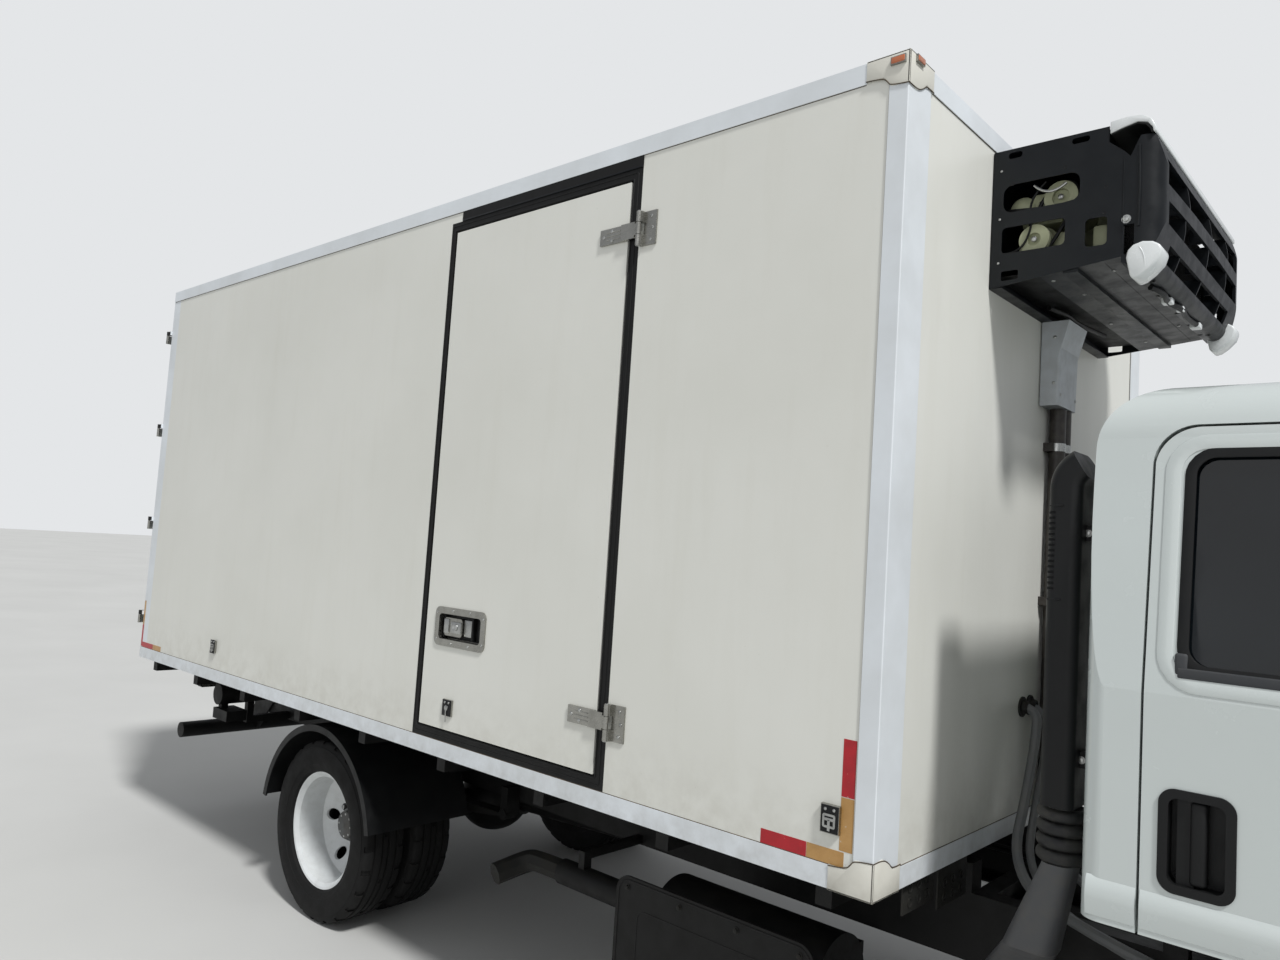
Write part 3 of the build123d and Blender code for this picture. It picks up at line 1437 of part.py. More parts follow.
door_face = skin_half + 2
with BuildPart() as side_door_fittings:
    for z in strap_rows:
        block((door_front_x - 126, -door_face - 8, z - 28), (door_front_x - 2, -door_face, z + 28))
        block((door_front_x - 22, -door_face - 15, z - 28), (side_axis_x - 22, -door_face - 7, z + 28))
        block((side_axis_x - 24, -door_face - 17, z - 20), (side_axis_x, -door_face - 9, z + 20))
        rod_z(side_axis_x, side_axis_y, z - 20, z + 20, hinge_knuckle + 1)
        bore_z(side_axis_x, side_axis_y, z - 21, z + 21, hinge_pin + 0.5)
    with BuildSketch(Plane.XZ.offset(door_face)):
        with Locations((latch_x, latch_z)):
            RectangleRounded(310, 150, 26)
            RectangleRounded(258, 98, 16, mode=Mode.SUBTRACT)
    extrude(amount=6)
    with BuildSketch(Plane.XZ.offset(skin_half - 30)):
        with Locations((latch_x, latch_z)):
            RectangleRounded(269.4, 109.4, 20)
    extrude(amount=5)
    with BuildSketch(Plane.XZ.offset(skin_half - 30)):
        with Locations((latch_x - 50, latch_z)):
            RectangleRounded(110, 70, 12)
    extrude(amount=28)
    with BuildSketch(Plane.XZ.offset(skin_half - 30)):
        with Locations((latch_x, latch_z)):
            RectangleRounded(269.4, 109.4, 20)
            RectangleRounded(257, 97, 14, mode=Mode.SUBTRACT)
    extrude(amount=32.5)
    block((body_front_x - 1828, -door_face - 8, 1118), (body_front_x - 1772, -door_face, 1180))
save(side_door_fittings, "side_door_fittings")

# Rear doors with their lock rods, hinged outside the rear corners
rear_face_x = body_rear_x
leaf_low = opening_low + door_gap
leaf_high = opening_high - door_gap
rod_rows = (300, 820)
for name, side in sides:
    with BuildPart() as rear_door:
        block(
            (rear_face_x, min(side * (opening_half - door_gap), side * door_gap), leaf_low),
            (rear_face_x + body_wall, max(side * (opening_half - door_gap), side * door_gap), leaf_high),
        )
        edges = rear_door.edges().filter_by(Axis.Z).filter_by(
            lambda edge: abs(edge.center().Y) < door_gap + 1 and edge.center().X > rear_face_x + 1
        )
        chamfer(edges, 10)
    save(rear_door, f"rear_door_{name}")
    with BuildPart() as rear_door_fittings:
        for from_edge in rod_rows:
            y = side * (opening_half - from_edge)
            rod_z(rear_face_x - lock_rod_back, y, leaf_low + 20, leaf_high - 20, lock_rod)
            for z in (leaf_low + 60, 1700, 2300, leaf_high - 90):
                block((rear_face_x - lock_rod_back, y - 35, z), (rear_face_x, y + 35, z + 40))
            block((rear_face_x - 25, min(y, y - side * 260), 1500), (rear_face_x - lock_rod_back, max(y, y - side * 260), 1530))
        axis_y = side * rear_axis_y
        for z in rear_hinge_rows:
            block(
                (rear_face_x - 8, min(side * (opening_half - 200), side * (opening_half - door_gap)), z - 25),
                (rear_face_x, max(side * (opening_half - 200), side * (opening_half - door_gap)), z + 25),
            )
            strap_x = rear_axis_x - hinge_knuckle + 1
            block(
                (strap_x, min(side * (opening_half - 30), axis_y), z - 25),
                (strap_x + 7, max(side * (opening_half - 30), axis_y), z + 25),
            )
            block(
                (strap_x, min(side * (opening_half - 38), side * (opening_half - 30)), z - 25),
                (rear_face_x - 8, max(side * (opening_half - 38), side * (opening_half - 30)), z + 25),
            )
            rod_z(rear_axis_x, axis_y, z - 25, z + 25, hinge_knuckle)
            bore_z(rear_axis_x, axis_y, z - 26, z + 26, hinge_pin + 0.5)
    save(rear_door_fittings, f"rear_door_fittings_{name}")
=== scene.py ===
import json
import math

import bpy
from mathutils import Euler, Matrix, Vector


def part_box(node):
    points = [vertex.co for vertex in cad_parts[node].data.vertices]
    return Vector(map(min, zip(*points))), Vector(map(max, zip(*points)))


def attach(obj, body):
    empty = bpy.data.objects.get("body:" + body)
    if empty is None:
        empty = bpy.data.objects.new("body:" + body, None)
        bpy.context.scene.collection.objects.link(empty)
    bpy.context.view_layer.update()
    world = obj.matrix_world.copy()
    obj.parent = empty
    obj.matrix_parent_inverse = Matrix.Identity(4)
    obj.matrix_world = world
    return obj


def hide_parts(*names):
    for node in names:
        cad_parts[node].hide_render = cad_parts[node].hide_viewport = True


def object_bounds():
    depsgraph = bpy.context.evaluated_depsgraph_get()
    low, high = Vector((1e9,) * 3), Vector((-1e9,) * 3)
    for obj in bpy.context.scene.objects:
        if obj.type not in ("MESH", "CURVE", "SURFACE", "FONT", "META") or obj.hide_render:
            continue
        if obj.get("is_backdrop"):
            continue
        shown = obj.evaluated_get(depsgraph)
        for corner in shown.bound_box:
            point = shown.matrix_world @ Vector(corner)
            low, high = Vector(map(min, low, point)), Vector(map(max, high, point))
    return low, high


# Refrigerated truck. Metres, +X forward, +Y to the left, +Z up, origin on the ground.
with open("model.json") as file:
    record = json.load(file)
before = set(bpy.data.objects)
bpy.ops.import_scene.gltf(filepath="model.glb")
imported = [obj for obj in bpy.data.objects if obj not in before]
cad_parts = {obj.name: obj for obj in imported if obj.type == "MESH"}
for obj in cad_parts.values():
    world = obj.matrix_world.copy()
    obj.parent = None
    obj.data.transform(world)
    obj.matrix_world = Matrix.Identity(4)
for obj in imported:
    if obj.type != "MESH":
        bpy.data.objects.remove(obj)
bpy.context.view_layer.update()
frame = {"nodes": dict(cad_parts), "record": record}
nodes = frame["nodes"]
slot_of = {row["node"]: row["material_slot"] for row in frame["record"]["subparts"]}
scene = bpy.context.scene
SIDES = (("right", -1), ("left", 1))
FORWARD, REARWARD, RIGHT, UP, DOWN = (1, 0, 0), (-1, 0, 0), (0, -1, 0), (0, 0, 1), (0, 0, -1)

# Places read from the frame
BODY_LOW, BODY_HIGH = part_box("body_rails")
BODY_FRONT = BODY_HIGH.x
BODY_REAR = BODY_LOW.x - 0.004
BODY_SIDE = BODY_HIGH.y
BODY_TOP = BODY_HIGH.z
BODY_BOTTOM = BODY_LOW.z
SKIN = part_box("body_left_wall")[1].y
DOOR_LOW, DOOR_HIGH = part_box("side_door")
REAR_DOOR_LOW, REAR_DOOR_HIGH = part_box("rear_door_left")
FLOOR_LOW, FLOOR_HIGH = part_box("body_floor")
REAR_WHEEL = (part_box("rear_tyres_right")[0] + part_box("rear_tyres_right")[1]) / 2
FRONT_WHEEL = (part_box("front_tyre_right")[0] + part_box("front_tyre_right")[1]) / 2
UNIT_LOW, UNIT_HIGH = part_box("cooler_housing")
UNIT_SIDE = UNIT_HIGH.y
DUCT_LOW, DUCT_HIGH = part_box("intake_duct")
CAB_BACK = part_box("cab_shell")[0].x
CAB_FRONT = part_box("cab_shell")[1].x
BUMPER_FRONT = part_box("front_bumper")[1].x
# Starts from which a row of points counts its x
FRONT, REAR = (BODY_FRONT, 0, 0), (BODY_REAR, 0, 0)
CAB_NOSE, CAB_TAIL = (CAB_FRONT, 0, 0), (CAB_BACK, 0, 0)
BUMPER, ORIGIN = (BUMPER_FRONT, 0, 0), (0, 0, 0)


def linear(colour):
    """Turn an sRGB hex colour into the linear values that the shaders take."""
    parts = [int(colour[i : i + 2], 16) / 255 for i in (1, 3, 5)]
    return [p / 12.92 if p <= 0.04045 else ((p + 0.055) / 1.055) ** 2.4 for p in parts] + [1.0]


def put(tree, kind, sockets=None, **settings):
    """Add one shader node; sockets holds values, hex colours, or the outputs that feed it."""
    made = tree.nodes.new("ShaderNode" + kind)
    for key, value in settings.items():
        setattr(made, key, value)
    for key, value in (sockets or {}).items():
        if isinstance(value, bpy.types.NodeSocket):
            tree.links.new(value, made.inputs[key])
        else:
            made.inputs[key].default_value = linear(value) if isinstance(value, str) else value
    return made


def begin(name, roughness, metallic=0.0, ior=1.5, coat=0.0):
    """Start a material: its tree, its shader and the place on the piece in metres."""
    material = bpy.data.materials.new(name)
    material.use_nodes = True
    tree = material.node_tree
    shader = tree.nodes["Principled BSDF"]
    shader.inputs["Roughness"].default_value = roughness
    shader.inputs["Metallic"].default_value = metallic
    shader.inputs["IOR"].default_value = ior
    shader.inputs["Coat Weight"].default_value = coat
    shader.inputs["Coat Roughness"].default_value = 0.08
    return material, tree, shader, put(tree, "TexCoord").outputs["Object"]


def patches(tree, place, size, low, high, detail=4.0):
    """Irregular patches about size metres across, 0 where clean and 1 where full."""
    noise = {"Vector": place, "Scale": 1 / size, "Detail": detail, "Roughness": 0.62}
    cloud = put(tree, "TexNoise", noise).outputs[0]
    return put(tree, "MapRange", {"Value": cloud, "From Min": low, "From Max": high}).outputs[0]


def stained(tree, ground, over, mask, share):
    """Lay a colour over a ground where the mask says, at most by the share."""
    amount = put(tree, "Math", {0: mask, 1: share}, operation="MULTIPLY").outputs[0]
    return put(tree, "Mix", {0: amount, 6: ground, 7: over}, data_type="RGBA").outputs[2]


def road_film(tree, place, low, high, size):
    """Patches of road dirt that thin out from the low height to the high one."""
    height = put(tree, "SeparateXYZ", {"Vector": place}).outputs["Z"]
    fade = put(tree, "MapRange", {"Value": height, "From Min": high, "From Max": low}).outputs[0]
    spots = patches(tree, place, size, 0.36, 0.7, 6.0)
    return put(tree, "Math", {0: fade, 1: spots}, operation="MULTIPLY").outputs[0]


def skinned(tree, shader, place, tone, mask, gloss, grain=0.0, depth=0.0):
    """Give a shader its tone, a roughness that goes between two values with the mask, and a fine grain."""
    tree.links.new(tone, shader.inputs["Base Color"])
    if mask:
        rough = put(tree, "MapRange", {"Value": mask, "To Min": gloss[0], "To Max": gloss[1]})
        tree.links.new(rough.outputs[0], shader.inputs["Roughness"])
    if grain:
        grains = put(tree, "TexNoise", {"Vector": place, "Scale": 1 / grain, "Detail": 2.0})
        bump = put(tree, "Bump", {"Height": grains.outputs[0], "Distance": depth, "Strength": 1.0})
        tree.links.new(bump.outputs[0], shader.inputs["Normal"])


def painted(name, colour, dirt, roughness, coat, grain, low_dirt, high_dirt, share):
    """A sprayed or moulded skin: faint cloudiness, fine grain and road dirt that thins with height."""
    material, tree, shader, place = begin(name, roughness, coat=coat)
    tone = stained(tree, colour, dirt, patches(tree, place, 0.6, 0.35, 0.75), 0.07)
    tone = stained(tree, tone, dirt, road_film(tree, place, low_dirt, high_dirt, 0.09), share)
    gloss = (roughness, min(1.0, roughness + 0.12))
    skinned(tree, shader, place, tone, patches(tree, place, 0.11, 0.4, 0.75), gloss, grain, 0.00008)
    return material


def gelcoat_panel():
    """Glass-fibre panel in aged off-white gelcoat: satin, faintly wavy, with soft streaks down the sheet."""
    material, tree, shader, place = begin("gelcoat_panel", 0.4)
    tall = put(tree, "Mapping", {"Vector": place, "Scale": (1.0, 1.0, 0.1)}).outputs[0]
    film = road_film(tree, place, BODY_BOTTOM, BODY_BOTTOM + 0.3, 0.06)
    tone = stained(tree, "#DDDDD6", "#CFCFC6", patches(tree, place, 1.1, 0.35, 0.7), 0.5)
    tone = stained(tree, tone, "#BDB9A8", patches(tree, tall, 0.07, 0.52, 0.8, 5.0), 0.1)
    tone = stained(tree, tone, "#98917F", patches(tree, place, 0.016, 0.7, 0.78, 5.0), 0.22)
    tone = stained(tree, tone, "#9C9686", film, 0.3)
    skinned(tree, shader, place, tone, patches(tree, tall, 0.16, 0.4, 0.7), (0.34, 0.5), 0.012, 0.0001)
    return material


def coated_rail(name, rubber_from):
    """Powder-coated aluminium extrusion: chalky cool white with rust specks; black rubber behind a place."""
    material, tree, shader, place = begin(name, 0.36)
    back = put(tree, "SeparateXYZ", {"Vector": place}).outputs["X"]
    block = put(tree, "Math", {0: back, 1: rubber_from}, operation="LESS_THAN").outputs[0]
    film = road_film(tree, place, BODY_BOTTOM, BODY_BOTTOM + 0.1, 0.05)
    tone = stained(tree, "#DDE2E6", "#C3C6C6", patches(tree, place, 0.35, 0.35, 0.7), 0.5)
    tone = stained(tree, tone, "#8A6A4C", patches(tree, place, 0.012, 0.71, 0.76, 6.0), 0.65)
    tone = stained(tree, stained(tree, tone, "#8B877C", film, 0.35), "#161616", block, 1.0)
    skinned(tree, shader, place, tone, patches(tree, place, 0.08, 0.4, 0.7), (0.32, 0.5), 0.003, 0.00006)
    return material


def moulded(name, colour, dust, roughness, grain, depth, share):
    """Moulded, cast or coated dark skin: a pebbled grain that holds pale dust on the faces that look up."""
    material, tree, shader, place = begin(name, roughness)
    shader.inputs["Specular IOR Level"].default_value = 0.3
    facing = put(tree, "TexCoord").outputs["Normal"]
    upward = put(tree, "SeparateXYZ", {"Vector": facing}).outputs["Z"]
    lie = {"Value": upward, "From Min": -0.2, "From Max": 1.0, "To Min": 0.25}
    lie = put(tree, "MapRange", lie).outputs[0]
    patch = patches(tree, place, 0.07, 0.4, 0.72, 5.0)
    held = put(tree, "Math", {0: lie, 1: patch}, operation="MULTIPLY").outputs[0]
    gloss = (roughness, min(1.0, roughness + 0.18))
    skinned(tree, shader, place, stained(tree, colour, dust, held, share), patch, gloss, grain, depth)
    return material


def brushed(name, colour, along, roughness, depth=0.00006):
    """Brushed or rolled bare metal: fine scratches along one direction, with dull finger marks."""
    material, tree, shader, place = begin(name, roughness, metallic=1.0)
    drawn = put(tree, "Mapping", {"Vector": place, "Scale": along}).outputs[0]
    tone = stained(tree, colour, "#6F6E69", patches(tree, place, 0.05, 0.38, 0.75), 0.45)
    # Scratches are about 0.5 mm apart; drawn at 4 mm so that they show
    scratches = patches(tree, drawn, 0.004, 0.3, 0.7, 2.0)
    skinned(tree, shader, drawn, tone, scratches, (roughness - 0.08, roughness + 0.14), 0.004, depth)
    return material


def wheel_enamel(name, axle, hub_radius):
    """Thick white wheel enamel with brake dust, and a black painted hub in its middle."""
    material, tree, shader, place = begin(name, 0.34, coat=0.25)
    flat = {0: place, 1: (1.0, 0.0, 1.0)}
    flat = put(tree, "VectorMath", flat, operation="MULTIPLY").outputs[0]
    away = {0: flat, 1: (axle.x, 0.0, axle.z)}
    away = put(tree, "VectorMath", away, operation="DISTANCE").outputs["Value"]
    hub = {"Value": away, "From Min": hub_radius + 0.001, "From Max": hub_radius}
    hub = put(tree, "MapRange", hub).outputs[0]
    dust = patches(tree, place, 0.05, 0.42, 0.78, 5.0)
    tone = stained(tree, "#D3D6D6", "#7D776E", dust, 0.22)
    dark = stained(tree, "#191918", "#5A544A", dust, 0.35)
    skinned(tree, shader, place, stained(tree, tone, dark, hub, 1.0), dust, (0.28, 0.5), 0.004, 0.0001)
    return material


def split_by_height(name, upper, lower, height, roughness, dust):
    """Two finishes on one moulding, parted at a height: the upper cover and what comes out under it."""
    material, tree, shader, place = begin(name, roughness)
    rise = put(tree, "SeparateXYZ", {"Vector": place}).outputs["Z"]
    over = {"Value": rise, "From Min": height - 0.0005, "From Max": height + 0.0005}
    over = put(tree, "MapRange", over).outputs[0]
    soil = patches(tree, place, 0.05, 0.42, 0.75, 5.0)
    top, low = (stained(tree, colour, dust, soil, 0.25) for colour in (upper, lower))
    tone = stained(tree, low, top, over, 1.0)
    skinned(tree, shader, place, tone, soil, (roughness, roughness + 0.2), 0.002, 0.00012)
    return material


def tinted_glass(name, colour, clear):
    """Toughened glass with a dark blue-grey tint: black from outside, clear reflections, faint smears."""
    material, tree, shader, place = begin(name, 0.03, ior=1.52)
    shader.inputs["Transmission Weight"].default_value = clear
    shader.inputs["Specular IOR Level"].default_value = 0.35
    tone = stained(tree, colour, "#1E2529", patches(tree, place, 0.4, 0.3, 0.7), 0.5)
    skinned(tree, shader, place, tone, patches(tree, place, 0.12, 0.45, 0.8, 5.0), (0.02, 0.1))
    return material


def lens(name, colour, ribs):
    """Moulded acrylic lens: glossy, with fine ribs on its inner face."""
    material, tree, shader, place = begin(name, 0.08, ior=1.49, coat=0.5)
    wave = {"Vector": place, "Scale": ribs, "Distortion": 0.0}
    wave = put(tree, "TexWave", wave, bands_direction="Y").outputs[1]
    tree.links.new(stained(tree, colour, "#E8E8E4", wave, 0.22), shader.inputs["Base Color"])
    ribbed = put(tree, "Bump", {"Height": wave, "Distance": 0.0004, "Strength": 1.0})
    tree.links.new(ribbed.outputs[0], shader.inputs["Normal"])
    return material


def woven_cloth():
    """Hard-wearing woven seat cloth: a coarse grey weave, drawn at 5 mm a thread so that it shows."""
    material, tree, shader, place = begin("woven_seat_cloth", 0.9)
    shader.inputs["Sheen Weight"].default_value = 0.25
    threads = {"Vector": place, "Scale": 32.0}
    across, along, upright = (
        put(tree, "TexWave", threads, bands_direction=way).outputs[1] for way in "XYZ"
    )
    weave = put(tree, "Math", {0: across, 1: along}, operation="MULTIPLY").outputs[0]
    weave = put(tree, "Math", {0: weave, 1: upright}, operation="ADD").outputs[0]
    tone = stained(tree, "#222327", "#484A50", weave, 0.7)
    worn = patches(tree, place, 0.15, 0.38, 0.72)
    tree.links.new(stained(tree, tone, "#5A5B5E", worn, 0.3), shader.inputs["Base Color"])
    woven = put(tree, "Bump", {"Height": weave, "Distance": 0.0006, "Strength": 1.0})
    tree.links.new(woven.outputs[0], shader.inputs["Normal"])
    return material


def reflective_tape(name, colour, aged):
    """Retroreflective tape: a honeycomb of 3 mm cells under a clear face, flaked in patches."""
    material, tree, shader, place = begin(name, 0.28)
    cells = {"Vector": place, "Scale": 330.0}
    cells = put(tree, "TexVoronoi", cells, feature="DISTANCE_TO_EDGE").outputs[0]
    net = put(tree, "MapRange", {"Value": cells, "From Min": 0.1, "From Max": 0.02}).outputs[0]
    tone = stained(tree, colour, aged, patches(tree, place, 0.05, 0.4, 0.7), 0.8)
    flaked = patches(tree, place, 0.014, 0.66, 0.7, 6.0)
    tone = stained(tree, stained(tree, tone, aged, net, 0.35), "#C9C3B2", flaked, 0.8)
    skinned(tree, shader, place, tone, None, None, 0.003, 0.0001)
    return material


finishes = {
    "panel_white": gelcoat_panel(),
    "rail_white": coated_rail("powder_coated_rail", BODY_REAR - 1.0),
    # Two-layer cab paint: deep gloss over white, dusty towards the sill
    "cab_white": painted("cab_gloss_paint", "#C6CDCB", "#8C877A", 0.2, 0.8, 0.003, 0.45, 1.15, 0.14),
    "wheel_white": wheel_enamel("front_wheel_enamel", FRONT_WHEEL, 0.13),
    # Weathered cream ABS corner moulding
    "cap_cream": painted("cream_abs", "#D6D4CA", "#857C6B", 0.45, 0.0, 0.002, 0.93, 1.04, 0.5),
    # Blue-black powder coat on folded sheet, with pale dust
    "unit_black": moulded("powder_coat_black", "#090D11", "#3E4346", 0.36, 0.0018, 0.0001, 0.1),
    # White gloss cover of the cooling unit
    "unit_cap_white": painted("white_cover_gloss", "#DDE0E0", "#8E8C84", 0.24, 0.4, 0.003, 2.6, 2.72, 0.4),
    # Chassis paint under road dust
    "chassis_black": moulded("chassis_paint", "#0A0A0A", "#2E2B25", 0.5, 0.004, 0.00025, 0.25),
    # Sand-cast iron with a thin film of oil and dust
    "cast_grey": moulded("sand_cast_iron", "#20201E", "#3E392F", 0.6, 0.0025, 0.00045, 0.45),
    # Extruded rubber door seal, smooth and slightly greyed
    "seal_black": moulded("seal_rubber", "#0B0B0B", "#3A3A35", 0.5, 0.002, 0.0001, 0.14),
    # Road tyre rubber, dull with grey dust
    "tyre_black": moulded("tyre_rubber", "#0B0B0B", "#35322D", 0.72, 0.002, 0.00025, 0.18),
    # Textured black polypropylene
    "plastic_black": moulded("black_polypropylene", "#0E0F10", "#3C3A36", 0.42, 0.0012, 0.00012, 0.1),
    # Grey ABS mouldings
    "plastic_grey": moulded("grey_abs", "#3D3F42", "#6B6861", 0.55, 0.0012, 0.00015, 0.22),
    # Stainless hardware with brushing along the straps
    "stainless": brushed("brushed_stainless", "#A9A8A2", (0.06, 1.0, 1.0), 0.28),
    # Mill-finish aluminium of the tank
    "tank_alloy": brushed("mill_aluminium_tank", "#B9BBBC", (0.06, 1.0, 1.0), 0.34),
    # Rolled sheet of the load floor
    "floor_alloy": brushed("rolled_aluminium_floor", "#AEB0B1", (0.06, 1.0, 1.0), 0.4),
    "dark_glass": tinted_glass("tinted_glass", "#0A0F13", 0.35),
    "lamp_clear": lens("clear_lamp_lens", "#8F9598", 90.0),
    "seat_cloth": woven_cloth(),
    # Pale khaki enamel on the cooling unit's machinery, oily and dusty
    "machine_khaki": moulded("khaki_machine_enamel", "#A5A88B", "#3A392F", 0.45, 0.003, 0.00025, 0.45),
}
rear_enamel = wheel_enamel("rear_wheel_enamel", REAR_WHEEL, 0.126)
hose_cover_finish = split_by_height("grey_hose_cover_abs", "#B9BEC2", "#241F1C", 2.392, 0.42, "#7A766C")
lower_duct_finish = split_by_height("bellows_over_grey_duct", "#0B0C0D", "#4A4B4D", 1.1, 0.5, "#6B675E")
tape_red = reflective_tape("reflective_tape_red", "#B01322", "#96121D")
tape_tan = reflective_tape("reflective_tape_faded", "#B68D55", "#A57B42")
tape_white = reflective_tape("reflective_tape_white", "#CFCFC8", "#B5B3A6")
amber_lens = lens("amber_marker_lens", "#B4591A", 160.0)
red_lens = lens("red_tail_lens", "#8E1A1C", 160.0)
# Bright zinc plate on steel bolts, screws and clips
zinc = brushed("zinc_plated_steel", "#B9BAB8", (1.0, 1.0, 0.2), 0.3)
# Dark polyurethane caulk in the joints, with rust washed out beside it
caulk = moulded("joint_caulk", "#4A4238", "#7D6C55", 0.75, 0.003, 0.0003, 0.6)
# Vacuum-metallised lamp bowl and silvered mirror: near-perfect reflection, slightly hazed by dust
mirror_silver = brushed("silvered_mirror_glass", "#D4D8DA", (1.0, 1.0, 1.0), 0.1, 0.00001)
# EPDM hose and window rubber: satin black, greyed on top
hose_rubber = moulded("epdm_hose", "#0E0F10", "#3F3E3A", 0.42, 0.002, 0.0001, 0.12)
# Grey PVC sleeve of cables and coolant hoses
grey_sleeve = moulded("grey_pvc_sleeve", "#6A6C6D", "#8B877C", 0.5, 0.002, 0.0001, 0.3)
# Blank number plate and screws: pressed aluminium under white sheet
plate_blank = painted("white_plate_sheet", "#D9D9D4", "#8E8A7F", 0.35, 0.2, 0.003, 0.7, 0.9, 0.3)
# Looks of many pieces: the slot of the CAD piece that they belong with, and their finish
ZINC = ("stainless", zinc)
SILVER = ("stainless", mirror_silver)
IRON = ("chassis_black", finishes["cast_grey"])
DARK = ("unit_black", finishes["seal_black"])
RUBBER = ("seal_black", hose_rubber)
CAULK = ("seal_black", caulk)
AMBER = ("lamp_clear", amber_lens)

special = {
    "cooler_pipes": hose_cover_finish,
    "intake_lower_duct": lower_duct_finish,
    "rear_portal": coated_rail("powder_coated_portal", BODY_REAR - 0.001),
    "rear_rims_right": rear_enamel,
    "rear_rims_left": rear_enamel,
}
for name, piece in nodes.items():
    for slot in piece.material_slots:
        slot.material = special.get(name, finishes[slot_of[name]])


# Tools of the bench: each starts a piece from a primitive and shapes it in edit mode
def about(start, *points):
    """Points counted from a start."""
    return [tuple(a + b for a, b in zip(start, point)) for point in points]


def around(centre, radius, count, first=FORWARD, second=UP, turn=0.0):
    """Points at even turns on a circle about a centre, from the first direction towards the second."""
    turns = [turn + 2 * math.pi * step / count for step in range(count)]
    first, second = Vector(first), Vector(second)
    return [Vector(centre) + (first * math.cos(t) + second * math.sin(t)) * radius for t in turns]


def rounded(corners, radius, steps=5):
    """Round the corners of a flat outline; corners are pairs of values."""
    made = []
    for index, corner in enumerate(corners):
        here = Vector(corner)
        before = (Vector(corners[index - 1]) - here).normalized()
        after = (Vector(corners[(index + 1) % len(corners)]) - here).normalized()
        half = before.angle(after) / 2
        reach = radius / math.tan(half)
        centre = here + (before + after).normalized() * radius / math.sin(half)
        first, last = here + before * reach - centre, here + after * reach - centre
        for step in range(steps + 1):
            made.append(centre + first.lerp(last, step / steps).normalized() * radius)
    return made


def rounded_box(low, high, radius, steps):
    """The outline of a rectangle with rounded corners, between two pairs of values."""
    return rounded([low, (high[0], low[1]), high, (low[0], high[1])], radius, steps)


def fresh():
    """Let go of every piece before the next one is started."""
    bpy.ops.object.select_all(action="DESELECT")


def hold(piece):
    """Select one piece alone."""
    fresh()
    piece.select_set(True)
    bpy.context.view_layer.objects.active = piece


def opened():
    """Open the active piece in edit mode with all of it selected."""
    bpy.ops.object.mode_set(mode="EDIT")
    bpy.ops.mesh.select_all(action="SELECT")


def modified(piece, kind, **settings):
    """Apply one modifier with its settings to a piece."""
    hold(piece)
    change = piece.modifiers.new(kind, kind)
    for key, value in settings.items():
        setattr(change, key, value)
    bpy.ops.object.modifier_apply(modifier=change.name)
    return piece


def slab(corner, opposite, round_off=0.0, steps=2):
    """A rectangular piece between two opposite corners, its edges rounded."""
    fresh()
    corner, opposite = Vector(corner), Vector(opposite)
    size = [abs(length) for length in opposite - corner]
    bpy.ops.mesh.primitive_cube_add(size=1, location=(corner + opposite) / 2, scale=size)
    piece = bpy.context.active_object
    bpy.ops.object.transform_apply(location=True, rotation=True, scale=True)
    if round_off:
        opened()
        bpy.ops.mesh.bevel(offset=round_off, segments=steps, affect="EDGES")
        bpy.ops.object.mode_set(mode="OBJECT")
    return piece


def slabs(start, *rows):
    """Rectangular pieces counted from a start; a row holds two corners and what slab takes for edges."""
    return [slab(*about(start, low, high), *edges) for low, high, *edges in rows]


def turned(centre, axis, rows, sides=32, solid=True):
    """A form turned about an axis: rows hold the place along it and the radius of each ring."""
    fresh()
    centre, axis = Vector(centre), Vector(axis).normalized()
    along, radius = rows[0]
    bpy.ops.mesh.primitive_circle_add(
        vertices=sides,
        radius=radius,
        fill_type="NGON" if solid else "NOTHING",
        location=centre + axis * along,
        rotation=axis.to_track_quat("Z", "Y").to_euler(),
    )
    piece = bpy.context.active_object
    bpy.ops.object.transform_apply(location=True, rotation=True, scale=True)
    opened()
    for place, size in rows[1:]:
        bpy.ops.mesh.extrude_region_move(TRANSFORM_OT_translate={"value": axis * (place - along)})
        bpy.ops.transform.resize(value=(size / radius,) * 3, center_override=centre + axis * place)
        along, radius = place, size
    bpy.ops.mesh.select_all(action="SELECT")
    bpy.ops.mesh.remove_doubles(threshold=1e-5)
    bpy.ops.mesh.normals_make_consistent(inside=False)
    bpy.ops.object.mode_set(mode="OBJECT")
    return piece


def band(centre, axis, half, inner, outer, sides):
    """A flat band round a pipe or a tank."""
    return turned(centre, axis, ((-half, inner), (-half, outer), (half, outer), (half, inner)), sides, False)


def cut_sheet(outline, thickness, border=0.0, round_off=0.0):
    """A sheet cut to an outline and thickened by a vector; with a border it is an open frame."""
    fresh()
    bpy.ops.mesh.primitive_circle_add(vertices=len(outline), fill_type="NGON")
    piece = bpy.context.active_object
    for vertex, place in zip(piece.data.vertices, outline):
        vertex.co = place
    opened()
    if border:
        bpy.ops.mesh.inset(thickness=border, depth=0.0)
        bpy.ops.mesh.delete(type="FACE")
        bpy.ops.mesh.select_all(action="SELECT")
    bpy.ops.mesh.extrude_region_move(TRANSFORM_OT_translate={"value": thickness})
    bpy.ops.mesh.select_all(action="SELECT")
    bpy.ops.mesh.normals_make_consistent(inside=False)
    bpy.ops.object.mode_set(mode="OBJECT")
    if round_off:
        modified(piece, "BEVEL", width=round_off, segments=2, limit_method="ANGLE")
    return piece


